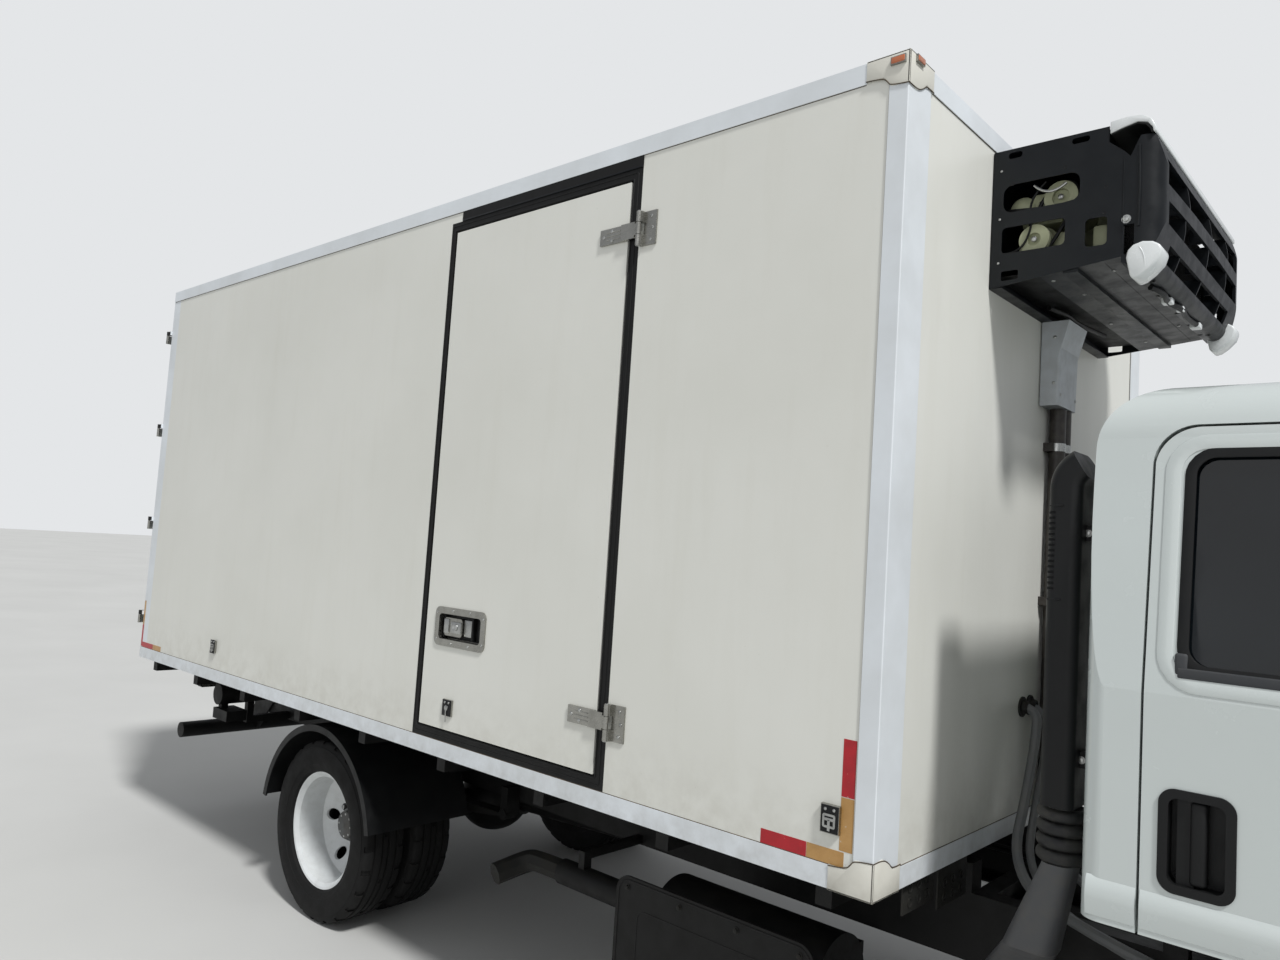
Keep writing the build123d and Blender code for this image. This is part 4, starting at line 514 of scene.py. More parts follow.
def line_of(points, radius, closed=False, straight=False):
    """A bead, hose, rod or wire that follows a line of points."""
    fresh()
    curve = bpy.data.curves.new("line", "CURVE")
    curve.dimensions = "3D"
    curve.bevel_depth = radius
    curve.bevel_resolution = 2
    curve.use_fill_caps = True
    curve.resolution_u = 6
    spline = curve.splines.new("POLY" if straight else "NURBS")
    spline.points.add(len(points) - 1)
    for point, place in zip(spline.points, points):
        point.co = (*place, 1.0)
    if not straight:
        spline.order_u = 3
        spline.use_endpoint_u = not closed
    spline.use_cyclic_u = closed
    piece = bpy.data.objects.new("line", curve)
    scene.collection.objects.link(piece)
    hold(piece)
    bpy.ops.object.convert(target="MESH")
    return bpy.context.active_object


def lines(start, *rows):
    """Beads, hoses or rods counted from a start; a row holds the radius and then the points."""
    return [line_of(about(start, *points), radius) for radius, *points in rows]


def hoop(points, radius):
    """A closed bead with straight runs between its points."""
    return line_of(points, radius, closed=True, straight=True)


def joined(pieces):
    """Make one piece of several."""
    hold(pieces[0])
    for piece in pieces[1:]:
        piece.select_set(True)
    if len(pieces) > 1:
        bpy.ops.object.join()
    return bpy.context.active_object


def copied(piece, shifts):
    """Copy a piece to further places, each copy with its own mesh, and join them."""
    made = [piece]
    for shift in shifts:
        twin = piece.copy()
        twin.data = piece.data.copy()
        twin.data.transform(Matrix.Translation(Vector(shift)))
        scene.collection.objects.link(twin)
        made.append(twin)
    return joined(made)


def row_of(piece, step, count):
    """A row of equal pieces at an even step."""
    return copied(piece, [[length * index for length in step] for index in range(1, count)])


def both_sides(*pieces):
    """Pieces together with their mirrored twins on the other side of the vehicle."""
    piece = joined(pieces)
    twin = piece.copy()
    twin.data = piece.data.copy()
    scene.collection.objects.link(twin)
    twin.data.transform(Matrix.Scale(-1, 4, (0, 1, 0)))
    twin.data.flip_normals()
    return joined([piece, twin])


def moved(piece, shift):
    """Move a piece's mesh, so that its object stays at the origin."""
    piece.data.transform(Matrix.Translation(Vector(shift)))
    return piece


def done(pieces, name, look, body="chassis", angle=32):
    """Join and name a piece and let it ride on its body; look is a slot, or a slot with another finish."""
    slot, finish = (look, finishes[look]) if isinstance(look, str) else look
    piece = joined(pieces) if isinstance(pieces, list) else pieces
    piece.name = name
    piece.data.materials.clear()
    piece.data.materials.append(finish)
    hold(piece)
    bpy.ops.object.shade_smooth_by_angle(angle=math.radians(angle))
    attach(piece, body)
    return piece


def bolt_heads(places, outward, radius):
    """Hexagon-headed bolts on washers that stand out of a surface."""
    washer = ((0, radius * 1.6), (radius * 0.25, radius * 1.6), (radius * 0.25, radius))
    head = turned(places[0], outward, (*washer, (radius, radius), (radius * 1.12, radius * 0.8)), 12)
    return copied(head, [Vector(place) - Vector(places[0]) for place in places[1:]])


def screw_domes(places, outward, radius):
    """Low round screw heads or rivets."""
    rows = [(radius * up, radius * out) for up, out in ((0, 1), (0.25, 0.95), (0.45, 0.7), (0.55, 0.3))]
    head = turned(places[0], outward, rows, 10)
    return copied(head, [Vector(place) - Vector(places[0]) for place in places[1:]])


# Insulated body: tapes, joints, corner mouldings, doorway and its door
def tape_strip(x_low, x_high, z_low, z_high):
    """One strip of tape on the right skin, its corners slightly lifted."""
    return slab((x_low, -SKIN - 0.0007, z_low), (x_high, -SKIN, z_high), 0.0003, 1)


FRONT_TAPE = BODY_FRONT - 0.062
red = [
    tape_strip(FRONT_TAPE - 0.039, FRONT_TAPE, 1.197, 1.346),
    tape_strip(BODY_FRONT - 0.346, BODY_FRONT - 0.199, 1.017, 1.056),
    tape_strip(BODY_REAR + 0.025, BODY_REAR + 0.184, 1.017, 1.046),
    tape_strip(BODY_REAR + 0.003, BODY_REAR + 0.024, 1.02, 1.147),
]
tan = [
    tape_strip(FRONT_TAPE - 0.039, FRONT_TAPE, 1.059, 1.195),
    tape_strip(BODY_FRONT - 0.198, BODY_FRONT - 0.086, 1.017, 1.056),
    tape_strip(BODY_REAR + 0.185, BODY_REAR + 0.303, 1.017, 1.046),
    tape_strip(BODY_REAR + 0.003, BODY_REAR + 0.024, 1.148, 1.291),
]
done(both_sides(*red), "side_tapes_red", ("panel_white", tape_red))
done(both_sides(*tan), "side_tapes_faded", ("panel_white", tape_tan))
SILL_TAPES = (("red", tape_red, -0.82, -0.55, 3), ("white", tape_white, -0.545, -0.275, 2))
for colour, finish, low_y, high_y, count in SILL_TAPES:
    sill = slab((BODY_REAR - 0.0008, low_y, 0.975), (BODY_REAR, high_y, 1.03), 0.0003, 1)
    done(row_of(sill, (0, 0.55, 0), count), f"rear_sill_tapes_{colour}", ("rail_white", finish))

seam_out = -SKIN - 0.0002
FOLD = BODY_FRONT - 0.0038
ALONG = (BODY_REAR + 0.006, BODY_FRONT - 0.13)
seams = [line_of([(BODY_FRONT - 0.0578, seam_out, z) for z in (1.02, 3.13)], 0.0016)]
seams += [line_of([(x, seam_out, z) for x in ALONG], 0.0013) for z in (3.1342, 1.0158)]
seams.append(line_of([(FOLD, -1.0272, z) for z in (1.02, 3.13)], 0.0016))
seams = both_sides(*seams)
cross = [line_of([(FOLD, y, z) for y in (-1.02, 1.02)], 0.0013) for z in (3.1342, 1.0138)]
done([seams, *cross], "panel_joint_caulk", CAULK)

# Corner mouldings: their inner edges wave over the post, with a bead of caulk along the wave
side_wave = ((-0.128, 0.0), (-0.075, 0.004), (-0.062, 0.018), (-0.052, 0.032), (0.003, 0.036))
front_wave = ((0.0, 0.036), (0.05, 0.039), (0.085, 0.022), (0.105, 0.004), (0.15, 0.007))


def corner_moulding(wave_from, edge, up):
    """The moulding over one right front corner; wave_from is where its wave starts, edge its outer end."""
    out = BODY_SIDE + 0.003
    tip = BODY_FRONT + 0.003
    back = BODY_FRONT - 0.128
    face = BODY_FRONT - 0.004
    side_line = [(BODY_FRONT + x, -SKIN, wave_from - up * rise) for x, rise in side_wave]
    front_line = [(face, -out + y, wave_from - up * rise) for y, rise in front_wave]
    side_outline = [*side_line, (tip, -SKIN, edge), (back, -SKIN, edge)]
    front_outline = [*front_line, (face, -out + 0.15, edge), (face, -out, edge)]
    made = [
        cut_sheet(side_outline, (0, SKIN - out, 0), round_off=0.0025),
        cut_sheet(front_outline, (0.007, 0, 0), round_off=0.0025),
        slab((back, -out, edge - up * 0.007), (tip, -out + 0.15, edge), 0.0025),
    ]
    beads = [
        line_of([(x, -out + 0.0005, z) for x, y, z in side_line], 0.0016),
        line_of([(tip - 0.0005, y, z) for x, y, z in front_line], 0.0016),
    ]
    return made, beads


top_pieces, top_beads = corner_moulding(BODY_TOP - 0.055, BODY_TOP + 0.003, 1)
low_pieces, low_beads = corner_moulding(BODY_BOTTOM + 0.06, BODY_BOTTOM - 0.003, -1)
caps = done(both_sides(*top_pieces, *low_pieces), "corner_mouldings", "cap_cream")
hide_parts("body_corner_caps")
done(both_sides(*top_beads, *low_beads), "corner_caulk", CAULK)
domes = slabs(
    FRONT,
    ((-0.05, -BODY_SIDE - 0.0125, 3.164), (-0.01, -BODY_SIDE - 0.004, 3.182), 0.003, 3),
    ((0.004, -1.134, 3.176), (0.0125, -1.094, 3.192), 0.003, 3),
)
done(both_sides(*domes), "marker_lamp_domes", AMBER)


# Doorway: two raised lips on the black surround, and the folded edge of the header plate
def doorway_lip(margin, radius):
    """A round lip that runs round the doorway, margin outside the door's edge."""
    low = (DOOR_LOW.x - margin - 0.005, DOOR_LOW.z - margin)
    high = (DOOR_HIGH.x + margin, DOOR_HIGH.z + margin)
    return hoop([(x, -SKIN, z) for x, z in rounded_box(low, high, 0.008, 3)], radius)


done([doorway_lip(0.011, 0.0028), doorway_lip(0.03, 0.0022)], "doorway_seal_lips", "seal_black")
hole_low, hole_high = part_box("body_doorway")
header = slab((hole_low.x + 0.07, -SKIN - 0.0042, 3.094), (hole_high.x, -SKIN - 0.002, 3.1), 0.001)
done(header, "header_plate_fold", "unit_black")

STRAP_HEIGHTS = (2.872, 1.242)
STRAP_SCREWS = ((-0.108, 0.0), (-0.07, 0.017), (-0.07, -0.017), (-0.022, 0.0))
LEAF_SCREWS = ((0.044, 0.04), (0.052, 0.0), (0.044, -0.04))
hinge_x = DOOR_HIGH.x + 0.063
strap_face = -SKIN - 0.01
bolts, ribs, leaf_bolts = [], [], []
for z in STRAP_HEIGHTS:
    strap = (DOOR_HIGH.x, strap_face, z)
    bolts.append(screw_domes(about(strap, *[(x, 0, up) for x, up in STRAP_SCREWS]), RIGHT, 0.0065))
    ribs += lines(strap, *[(0.002, (-0.094, 0, up), (-0.03, 0, up)) for up in (-0.013, 0.0, 0.013)])
    spots = [(hinge_x + x, -SKIN - 0.006, z + up) for x, up in LEAF_SCREWS]
    leaf_bolts.append(screw_domes(spots, RIGHT, 0.006))
    for height, way in ((z + 0.058, 1), (z - 0.058, -1)):
        pin_end = (hinge_x, -BODY_SIDE - 0.016, height)
        leaf_bolts.append(turned(pin_end, (0, 0, way), ((0, 0.0075), (0.002, 0.0075), (0.004, 0.004)), 14))
done(bolts, "side_strap_screws", ZINC, "side_door")
done(ribs, "side_strap_ribs", "stainless", "side_door")
done(leaf_bolts, "side_hinge_screws", ZINC)

# Paddle latch: black pan, paddle plate with its grip, key barrel, spring and the frame's screws
latch = (BODY_FRONT - 1.764, -SKIN, 1.454)
pan = slabs(
    latch,
    ((-0.127, 0.0225, -0.047), (0.127, 0.0245, 0.047), 0.0008),
    ((0.062, 0.004, -0.044), (0.07, 0.024, 0.044), 0.002),
    ((0.092, 0.012, -0.04), (0.124, 0.024, 0.04), 0.004),
    ((-0.126, 0.01, -0.044), (-0.112, 0.024, 0.044), 0.003),
)
done(pan, "latch_pan", "plastic_black", "side_door")
paddle = slabs(
    latch,
    ((-0.104, -0.003, -0.026), (-0.074, 0.004, 0.03), 0.003),
    ((-0.06, -0.004, -0.022), (0.004, 0.004, 0.022), 0.003),
    ((0.01, 0.008, -0.03), (0.056, 0.02, 0.034), 0.003),
)
(key,) = about(latch, (-0.028, -0.004, 0.002))
paddle.append(turned(key, RIGHT, ((0, 0.014), (0.004, 0.014), (0.006, 0.011), (0.004, 0.008)), 20))
PAN_SCREWS = ((-0.142, 0.052), (-0.045, 0.063), (0.06, 0.063), (0.142, 0.048))
screws = [(x, -0.008, way * z) for x, z in PAN_SCREWS for way in (1, -1)]
paddle.append(screw_domes(about(latch, *screws), RIGHT, 0.0055))
done(paddle, "latch_paddle", ZINC, "side_door")
coil = [(step, 0.005 * math.cos(step * 1.6), 0.005 * math.sin(step * 1.6)) for step in range(10)]
coil = about(latch, *[(0.018 + 0.004 * step, 0.014 + y, z - 0.018) for step, y, z in coil])
done(line_of(coil, 0.0011), "latch_spring", ZINC, "side_door")

# Door hook under the latch and the holdbacks on the skin
hook = (BODY_FRONT - 1.8, -SKIN - 0.01, 1.149)
plate = slabs(hook, ((-0.0275, -0.0015, -0.03), (0.0275, 0.001, 0.03), 0.0008))
done(plate, "door_hook_plate", "plastic_black", "side_door")
screws = about(hook, (-0.012, -0.0015, 0.02), (0.012, -0.0015, 0.02), (0, -0.0015, 0.0))
hook_parts = [
    screw_domes(screws[:2], RIGHT, 0.005),
    turned(screws[2], RIGHT, ((0, 0.01), (0.003, 0.01), (0.005, 0.006)), 16),
    *lines(hook, (0.0024, (0, -0.004, 0.0), (0.001, -0.005, -0.02), (0.002, -0.004, -0.052))),
]
done(hook_parts, "door_hook", ZINC, "side_door")
clip_plates, clip_springs = [], []
for x in (BODY_FRONT - 0.126, BODY_REAR + 1.009):
    clip = (x, -SKIN - 0.012, 1.134)
    clip_plates += slabs(clip, ((-0.026, -0.0015, -0.035), (0.026, 0.0005, 0.035), 0.0008))
    screws = about(clip, (-0.013, -0.0015, 0.025), (0.013, -0.0015, 0.025))
    clip_springs.append(screw_domes(screws, RIGHT, 0.0045))
    socket = rounded_box((x - 0.019, 1.112), (x + 0.019, 1.148), 0.005, 3)
    socket = [(across, clip[1] - 0.0015, up) for across, up in socket]
    clip_springs.append(cut_sheet(socket, (0, -0.003, 0), border=0.006))
    clip_springs += slabs(
        clip,
        ((-0.015, -0.005, -0.004), (0.015, -0.0015, 0.004), 0.001),
        ((-0.004, -0.005, -0.03), (0.004, -0.0015, 0.0), 0.001),
    )
done(both_sides(*clip_plates), "holdback_plates", "plastic_black")
done(both_sides(*clip_springs), "holdback_springs", ZINC)

# Rear doors: gaskets, cams, handles, rod guides and hinge bolts; keepers, lamps and plate on the frame
LOCK_RODS = (0.804, 0.284)
HINGE_HEIGHTS = (1.18, 1.75, 2.32, 2.9)
GUIDE_HEIGHTS = (REAR_DOOR_LOW.z + 0.08, 1.72, 2.32, REAR_DOOR_HIGH.z - 0.07)
for side_name, side in SIDES:
    body = f"rear_door_{side_name}"
    low_y, high_y = sorted((side * REAR_DOOR_LOW.y, side * REAR_DOOR_HIGH.y))
    low = (low_y + 0.012, REAR_DOOR_LOW.z + 0.012)
    edge = rounded_box(low, (high_y - 0.012, REAR_DOOR_HIGH.z - 0.012), 0.02, 4)
    gaskets = [hoop([(x, y, z) for y, z in edge], 0.0045) for x in (BODY_REAR - 0.0005, REAR_DOOR_HIGH.x)]
    done(gaskets, f"rear_gasket_{side_name}", "seal_black", body)
    hardware = []
    for rod_y in LOCK_RODS:
        rod = (BODY_REAR, side * rod_y, 0)
        for z in (REAR_DOOR_LOW.z + 0.024, REAR_DOOR_HIGH.z - 0.024):
            hardware += slabs(rod, ((-0.027, -0.03, z - 0.012), (-0.006, 0.03, z + 0.012), 0.004))
        for z in GUIDE_HEIGHTS:
            hardware.append(bolt_heads(about(rod, (-0.015, -0.026, z), (-0.015, 0.026, z)), REARWARD, 0.005))
        grip = ((-0.026, 0.05), (-0.032, 0.15), (-0.031, 0.262))
        hardware += lines(rod, (0.0075, *[(x, -side * inward, 1.515) for x, inward in grip]))
        hardware += slabs(rod, ((-0.034, -side * 0.235, 1.49), (0, -side * 0.215, 1.54), 0.004))
    done(hardware, f"rear_lock_gear_{side_name}", ZINC, body)
    heads = []
    for z in HINGE_HEIGHTS:
        spots = [(BODY_REAR - 0.008, side * y, z) for y in (0.925, 0.975, 1.025)]
        heads.append(bolt_heads(spots, REARWARD, 0.006))
    done(heads, f"rear_hinge_bolts_{side_name}", ZINC, body)

keepers = []
for y in LOCK_RODS:
    for low, high in ((1.028, 1.054), (3.121, 3.147)):
        keepers += slabs(REAR, ((-0.03, -y - 0.042, low), (0, -y + 0.042, high), 0.004))
        spots = [(BODY_REAR - 0.03, -y + across, (low + high) / 2) for across in (-0.03, 0.03)]
        keepers.append(bolt_heads(spots, REARWARD, 0.005))
done(both_sides(*keepers), "rear_rod_keepers", ZINC)
rain_edge = slabs(REAR, ((-0.022, -1.15, 3.158), (0, 1.15, 3.164), 0.002))
done(rain_edge, "rear_rain_edge", "rail_white")


def tail_lens(y, radius):
    """A round domed lens on the tail lamp's box."""
    dome = ((0, 1), (0.006, 1), (0.012, 0.86), (0.016, 0.55), (0.0175, 0.2))
    return turned((BODY_REAR + 0.04, y, 0.808), REARWARD, [(up, radius * share) for up, share in dome])


red_lenses = both_sides(tail_lens(-0.775, 0.03), tail_lens(-0.64, 0.022))
done(red_lenses, "tail_lenses_red", ("lamp_clear", red_lens))
done(both_sides(tail_lens(-0.708, 0.03)), "tail_lenses_amber", AMBER)
lamp_box = rounded_box((-0.815, 0.757), (-0.585, 0.858), 0.012, 3)
lamp_rim = [(BODY_REAR + 0.0385, y, z) for y, z in lamp_box]
lamp_face = [(BODY_REAR + 0.0395, y, z) for y, z in lamp_box]
lamp_rim = cut_sheet(lamp_rim, (0.052, 0, 0), border=0.006, round_off=0.001)
lamp_face = cut_sheet(lamp_face, (0.003, 0, 0))
done(both_sides(lamp_rim, lamp_face), "tail_lamp_housings", "plastic_black")
plate = rounded_box((-0.155, 0.72), (0.155, 0.875), 0.012, 3)
blank = cut_sheet([(BODY_REAR + 0.03, y, z) for y, z in plate], (-0.002, 0, 0), round_off=0.0005)
blank_rim = cut_sheet([(BODY_REAR + 0.028, y, z) for y, z in plate], (-0.002, 0, 0), border=0.004)
done([blank, blank_rim], "blank_plate", ("rail_white", plate_blank))
bracket = slabs(REAR, *[((0.03, y - 0.015, 0.74), (0.036, y + 0.015, 0.97), 0.001) for y in (-0.11, 0.11)])
done(bracket, "plate_brackets", "chassis_black")

# Inside the load space: floor ribs, kick rails, lamp and fan guards
FLOOR = FLOOR_HIGH.z
low, high = FLOOR_LOW.x, FLOOR_HIGH.x
rib = slab((low + 0.02, -1.062, FLOOR - 0.001), (high - 0.02, -1.048, FLOOR + 0.003), 0.001, 1)
done(row_of(rib, (0, 0.0386, 0), 56), "floor_ribs", "floor_alloy")
WALL = FLOOR_HIGH.y
kick = slab((low + 0.01, WALL - 0.004, FLOOR + 0.004), (high - 0.01, WALL, FLOOR + 0.25), 0.001, 1)
rivets = screw_domes([(x * 0.42 - 3.2, WALL - 0.004, FLOOR + 0.2) for x in range(11)], RIGHT, 0.006)
done([kick, rivets], "kick_rail_left", "floor_alloy")
strip = [slab((x - 0.3, -0.045, 3.075), (x + 0.3, 0.045, 3.0985), 0.01) for x in (-2.4, -0.6)]
done(strip, "ceiling_lamps", "lamp_clear")
guards = []
for y in (-0.27, 0.27):
    fan = (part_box("cooler_evaporator")[0].x - 0.003, y, 2.984)
    for radius in (0.1, 0.078, 0.056, 0.034):
        guards.append(hoop(around(fan, radius, 24, (0, 1, 0)), 0.0016))
    ends = around(fan, 0.102, 8, (0, 1, 0))
    guards += [line_of([ends[turn + 4], ends[turn]], 0.0018, straight=True) for turn in range(4)]
done(guards, "evaporator_guards", ZINC)

# Cooling unit: bolts, rib, belt drive behind the cut-outs, dark core, pan holes, drain hose and fittings
unit_bolts = [
    bolt_heads([(BODY_FRONT + 0.388, -UNIT_SIDE + 0.0005, 2.837)], RIGHT, 0.008),
    screw_domes([(BODY_FRONT + 0.024, -UNIT_SIDE, z) for z in (3.06, 2.905, 2.765)], RIGHT, 0.0038),
]
done(both_sides(*unit_bolts), "unit_side_bolts", ZINC)
# Painted shade: flat black discs stand in for the shade inside the holes in the side sheets
hole = ((0, 0.006), (0.0006, 0.006), (0.0006, 0.004), (0.0001, 0.0035))
spots = ((0.331, 2.945), (0.328, 2.868), (0.06, 3.012), (0.216, 3.03))
holes = [turned((BODY_FRONT + x, -UNIT_SIDE + 0.0002, z), RIGHT, hole, 12) for x, z in spots]
done(both_sides(*holes), "unit_side_holes", DARK)
side_sheet = (BODY_FRONT, -UNIT_SIDE, 0)
nose_ribs = [
    *lines(side_sheet, (0.004, (0.418, -0.0005, 3.05), (0.424, -0.0005, 2.93), (0.42, -0.0005, 2.812))),
    *slabs(side_sheet, ((0.377, -0.0015, 2.8), (0.38, 0.002, 3.015), 0.0006, 1)),
]
done(both_sides(*nose_ribs), "unit_nose_ribs", "unit_black")
core, fin = slabs(
    FRONT,
    ((0.361, -0.5, 2.745), (0.364, 0.5, 3.06), 0.0005, 1),
    ((0.364, -0.495, 2.75), (0.369, 0.495, 2.7515)),
)
core = [core, row_of(fin, (0, 0, 0.0075), 41)]
done(core, "condenser_fins", DARK)

pulley = ((0, 0.046), (0.004, 0.046), (0.008, 0.04), (0.012, 0.046), (0.016, 0.046), (0.016, 0.02))
pulley += ((0.006, 0.02),)
clutch = ((0, 0.05), (0.006, 0.05), (0.01, 0.044), (0.014, 0.05), (0.02, 0.05), (0.02, 0.026))
clutch += ((0.008, 0.026), (0.008, 0.008))
motor = ((0, 0.04), (0.03, 0.04), (0.04, 0.03), (0.046, 0.012))
drive = [turned((BODY_FRONT + 0.12, y, 2.835), RIGHT, pulley, 28) for y in (-0.521, -0.503)]
drive += [
    turned((BODY_FRONT + 0.19, -0.5, 2.96), RIGHT, clutch, 28),
    turned((BODY_FRONT + 0.07, -0.47, 2.948), RIGHT, motor, 20),
    *slabs(
        FRONT,
        ((0.15, -0.49, 2.79), (0.205, -0.455, 2.86), 0.006),
        ((0.095, -0.5, 2.925), (0.16, -0.47, 2.99), 0.008),
        ((0.285, -0.52, 2.78), (0.325, -0.47, 2.85), 0.006),
    ),
]
done(drive, "unit_drive_pulleys", "machine_khaki")
belt = ((0.074, 2.835), (0.09, 2.8), (0.125, 2.788), (0.165, 2.815), (0.238, 2.945), (0.235, 3.0))
belt = [(BODY_FRONT + x, -0.512, z) for x, z in (*belt, (0.185, 3.01), (0.14, 2.975))]
wire = ((0.03, -0.545, 2.8), (0.08, -0.54, 2.795), (0.12, -0.545, 2.88), (0.1, -0.54, 2.96))
hoses = lines(
    FRONT,
    (0.0035, *wire, (0.15, -0.535, 3.01)),
    (0.0045, (0.04, -0.535, 2.94), (0.1, -0.545, 2.93), (0.18, -0.535, 2.925), (0.26, -0.54, 2.935)),
    (0.008, (0.06, -0.2, 2.705), (0.09, -0.1, 2.7), (0.07, 0.05, 2.705), (0.11, 0.25, 2.7)),
)
done([line_of(belt, 0.006, closed=True), *hoses], "unit_belt_and_hoses", RUBBER)
PAN_RIVETS = ((0.17, -0.5), (0.2, -0.3), (0.33, -0.46), (0.17, 0.1), (0.34, 0.3), (0.2, 0.44), (0.37, -0.2))
pan_rivets = [(x, y, UNIT_LOW.z + 0.042 * x / 0.376 - 0.0001) for x, y in PAN_RIVETS]
bright = [
    *lines(FRONT, (0.0045, (0.12, -0.548, 3.0), (0.165, -0.548, 2.95), (0.215, -0.548, 2.99))),
    screw_domes(about(FRONT, (0.12, -0.537, 2.835), (0.19, -0.52, 2.96), (0.128, -0.5, 2.957)), RIGHT, 0.009),
    screw_domes(about(FRONT, *pan_rivets), DOWN, 0.006),
]
done(bright, "unit_bright_fittings", ZINC)
PAN_FRONT = BODY_FRONT + 0.395
# Painted shade: flat black discs stand in for the shade inside the holes in the pan
hole = ((0, 0.009), (0.0008, 0.009), (0.0008, 0.0065), (0.0, 0.006))
spots = [spot for y in (-0.4, -0.22, 0.02, 0.2, 0.36) for spot in ((0.0, y), (0.022, y + 0.015))]
pan_holes = [turned((PAN_FRONT + x, y, 2.6982), DOWN, hole, 14) for x, y in spots]
done(pan_holes, "unit_pan_holes", DARK)
drain = ((0.4, -0.34, 2.694), (0.425, -0.28, 2.688), (0.405, -0.16, 2.688), (0.43, -0.06, 2.688))
drain = lines(FRONT, (0.009, *drain, (0.408, 0.08, 2.69), (0.425, 0.22, 2.692)))
done(drain, "unit_drain_hose", RUBBER)
fittings = slabs(
    FRONT,
    ((0.395, -0.19, 2.68), (0.425, -0.155, 2.6985), 0.003),
    ((0.41, -0.07, 2.681), (0.432, -0.045, 2.6985), 0.003),
    ((0.4, 0.17, 2.68), (0.432, 0.21, 2.6985), 0.003),
)
done(fittings, "unit_hose_fittings", "unit_cap_white")


def across_unit(profile, y, width, round_off=0.0):
    """A form of one profile that runs across the cooling unit."""
    return cut_sheet([(BODY_FRONT + x, y, z) for x, z in profile], (0, width, 0), round_off=round_off)


# White cover: a thin curved shell over the nose, and the flared pillow at each lower corner
COVER = ((0.339, 3.137), (0.385, 3.1415), (0.422, 3.138), (0.446, 3.122), (0.46, 3.094), (0.46, 3.08))
COVER += ((0.453, 3.08), (0.45, 3.094), (0.437, 3.112), (0.412, 3.119), (0.374, 3.111), (0.339, 3.101))
PILLOW = ((0.3895, 2.722), (0.393, 2.744), (0.408, 2.759), (0.432, 2.7655), (0.458, 2.761), (0.477, 2.749))
PILLOW += ((0.4825, 2.734), (0.474, 2.706), (0.452, 2.682), (0.428, 2.664), (0.41, 2.659), (0.401, 2.668))
PILLOW += ((0.396, 2.692),)
# Profile of a black lining just under the white cover: painted shade for the cover's inside
COVER_SHADE_PROFILE = ((0.341, 3.099), (0.374, 3.109), (0.412, 3.117), (0.435, 3.11), (0.448, 3.093), (0.452, 3.079))
COVER_SHADE_PROFILE += ((0.448, 3.079), (0.444, 3.091), (0.432, 3.106), (0.411, 3.113), (0.376, 3.106), (0.342, 3.096))
cover = across_unit(COVER, -0.5705, 1.141, 0.0028)
pillow = across_unit(PILLOW, -0.572, 0.088, 0.013)
fold = lines(FRONT, (0.0022, (0.424, -0.5705, 2.75), (0.441, -0.5712, 2.726), (0.44, -0.5705, 2.69)))
# Painted shade: a black lining under the white cover and a black sheet under the machinery core stand in for
# the shade inside the unit
shade_sheets = [
    across_unit(COVER_SHADE_PROFILE, -0.5695, 1.139),
    *slabs(FRONT, ((0.012, -0.548, 2.7235), (0.33, 0.54, 2.7262), 0.0005, 1)),
]
done(shade_sheets, "unit_painted_shade_sheets", DARK)
covers = done([cover, both_sides(pillow, *fold)], "unit_white_covers", "unit_cap_white", angle=50)
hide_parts("cooler_caps")
cover_screws = [
    screw_domes(about(FRONT, (0.045, -0.0925, 2.47), (0.045, -0.0925, 2.63)), RIGHT, 0.006),
    screw_domes(about(FRONT, (0.0635, -0.075, 2.43), (0.0635, 0.083, 2.43)), FORWARD, 0.006),
]
done(cover_screws, "hose_cover_screws", ZINC)
CONDUITS = (0.008, 0.064)
CLIP_HEIGHTS = (1.195, 1.715, 2.255)
clips = [(BODY_FRONT + 0.031, y, z) for y in CONDUITS for z in CLIP_HEIGHTS]
clips = [band(place, UP, 0.014, 0.0272, 0.0288, 24) for place in clips]
done(clips, "conduit_clips", ZINC)

# Intake duct: clamps on the bellows, moulded seams and the bolts of its brackets
clamps = [band((BODY_FRONT + 0.365, -0.88, z), UP, 0.006, 0.049, 0.0515, 32) for z in (1.1065, 1.2295)]
done(clamps, "bellows_clamps", ZINC)
seam = lines(
    (DUCT_LOW.x, 0, 0),
    (0.0025, (-0.0005, -0.88, 1.25), (-0.0005, -0.88, 2.02)),
    *[(0.002, (0.006, -0.948, z), (0.024, -0.9565, z), (0.04, -0.9565, z)) for z in (1.75, 1.985)],
)
done(seam, "duct_seams", "plastic_black", "cab")
duct_bolts = bolt_heads([(DUCT_HIGH.x - 0.03, -0.902, z) for z in (1.36, 1.92)], RIGHT, 0.006)
done(duct_bolts, "duct_bracket_bolts", ZINC, "cab")

# Wheels: tyres turned with their grooves, shoulder cuts and sidewall rings
TYRE_SECTIONS = 96
# Half of a tyre's section: across from its middle, and radius; tread, shoulder, sidewall, bead
TREAD = ((0.0, 0.4055), (0.008, 0.4055), (0.01, 0.3965), (0.018, 0.3965), (0.02, 0.4055), (0.048, 0.4052))
TREAD += ((0.05, 0.3965), (0.058, 0.3965), (0.06, 0.405), (0.088, 0.403), (0.094, 0.399))
WALL_RINGS = ((0.0985, 0.39), (0.104, 0.376), (0.106, 0.375), (0.1095, 0.355), (0.1125, 0.33))
WALL_RINGS += ((0.111, 0.31), (0.108, 0.296), (0.106, 0.295), (0.099, 0.28), (0.096, 0.27))
BEAD = ((0.0865, 0.264), (0.084, 0.2612))


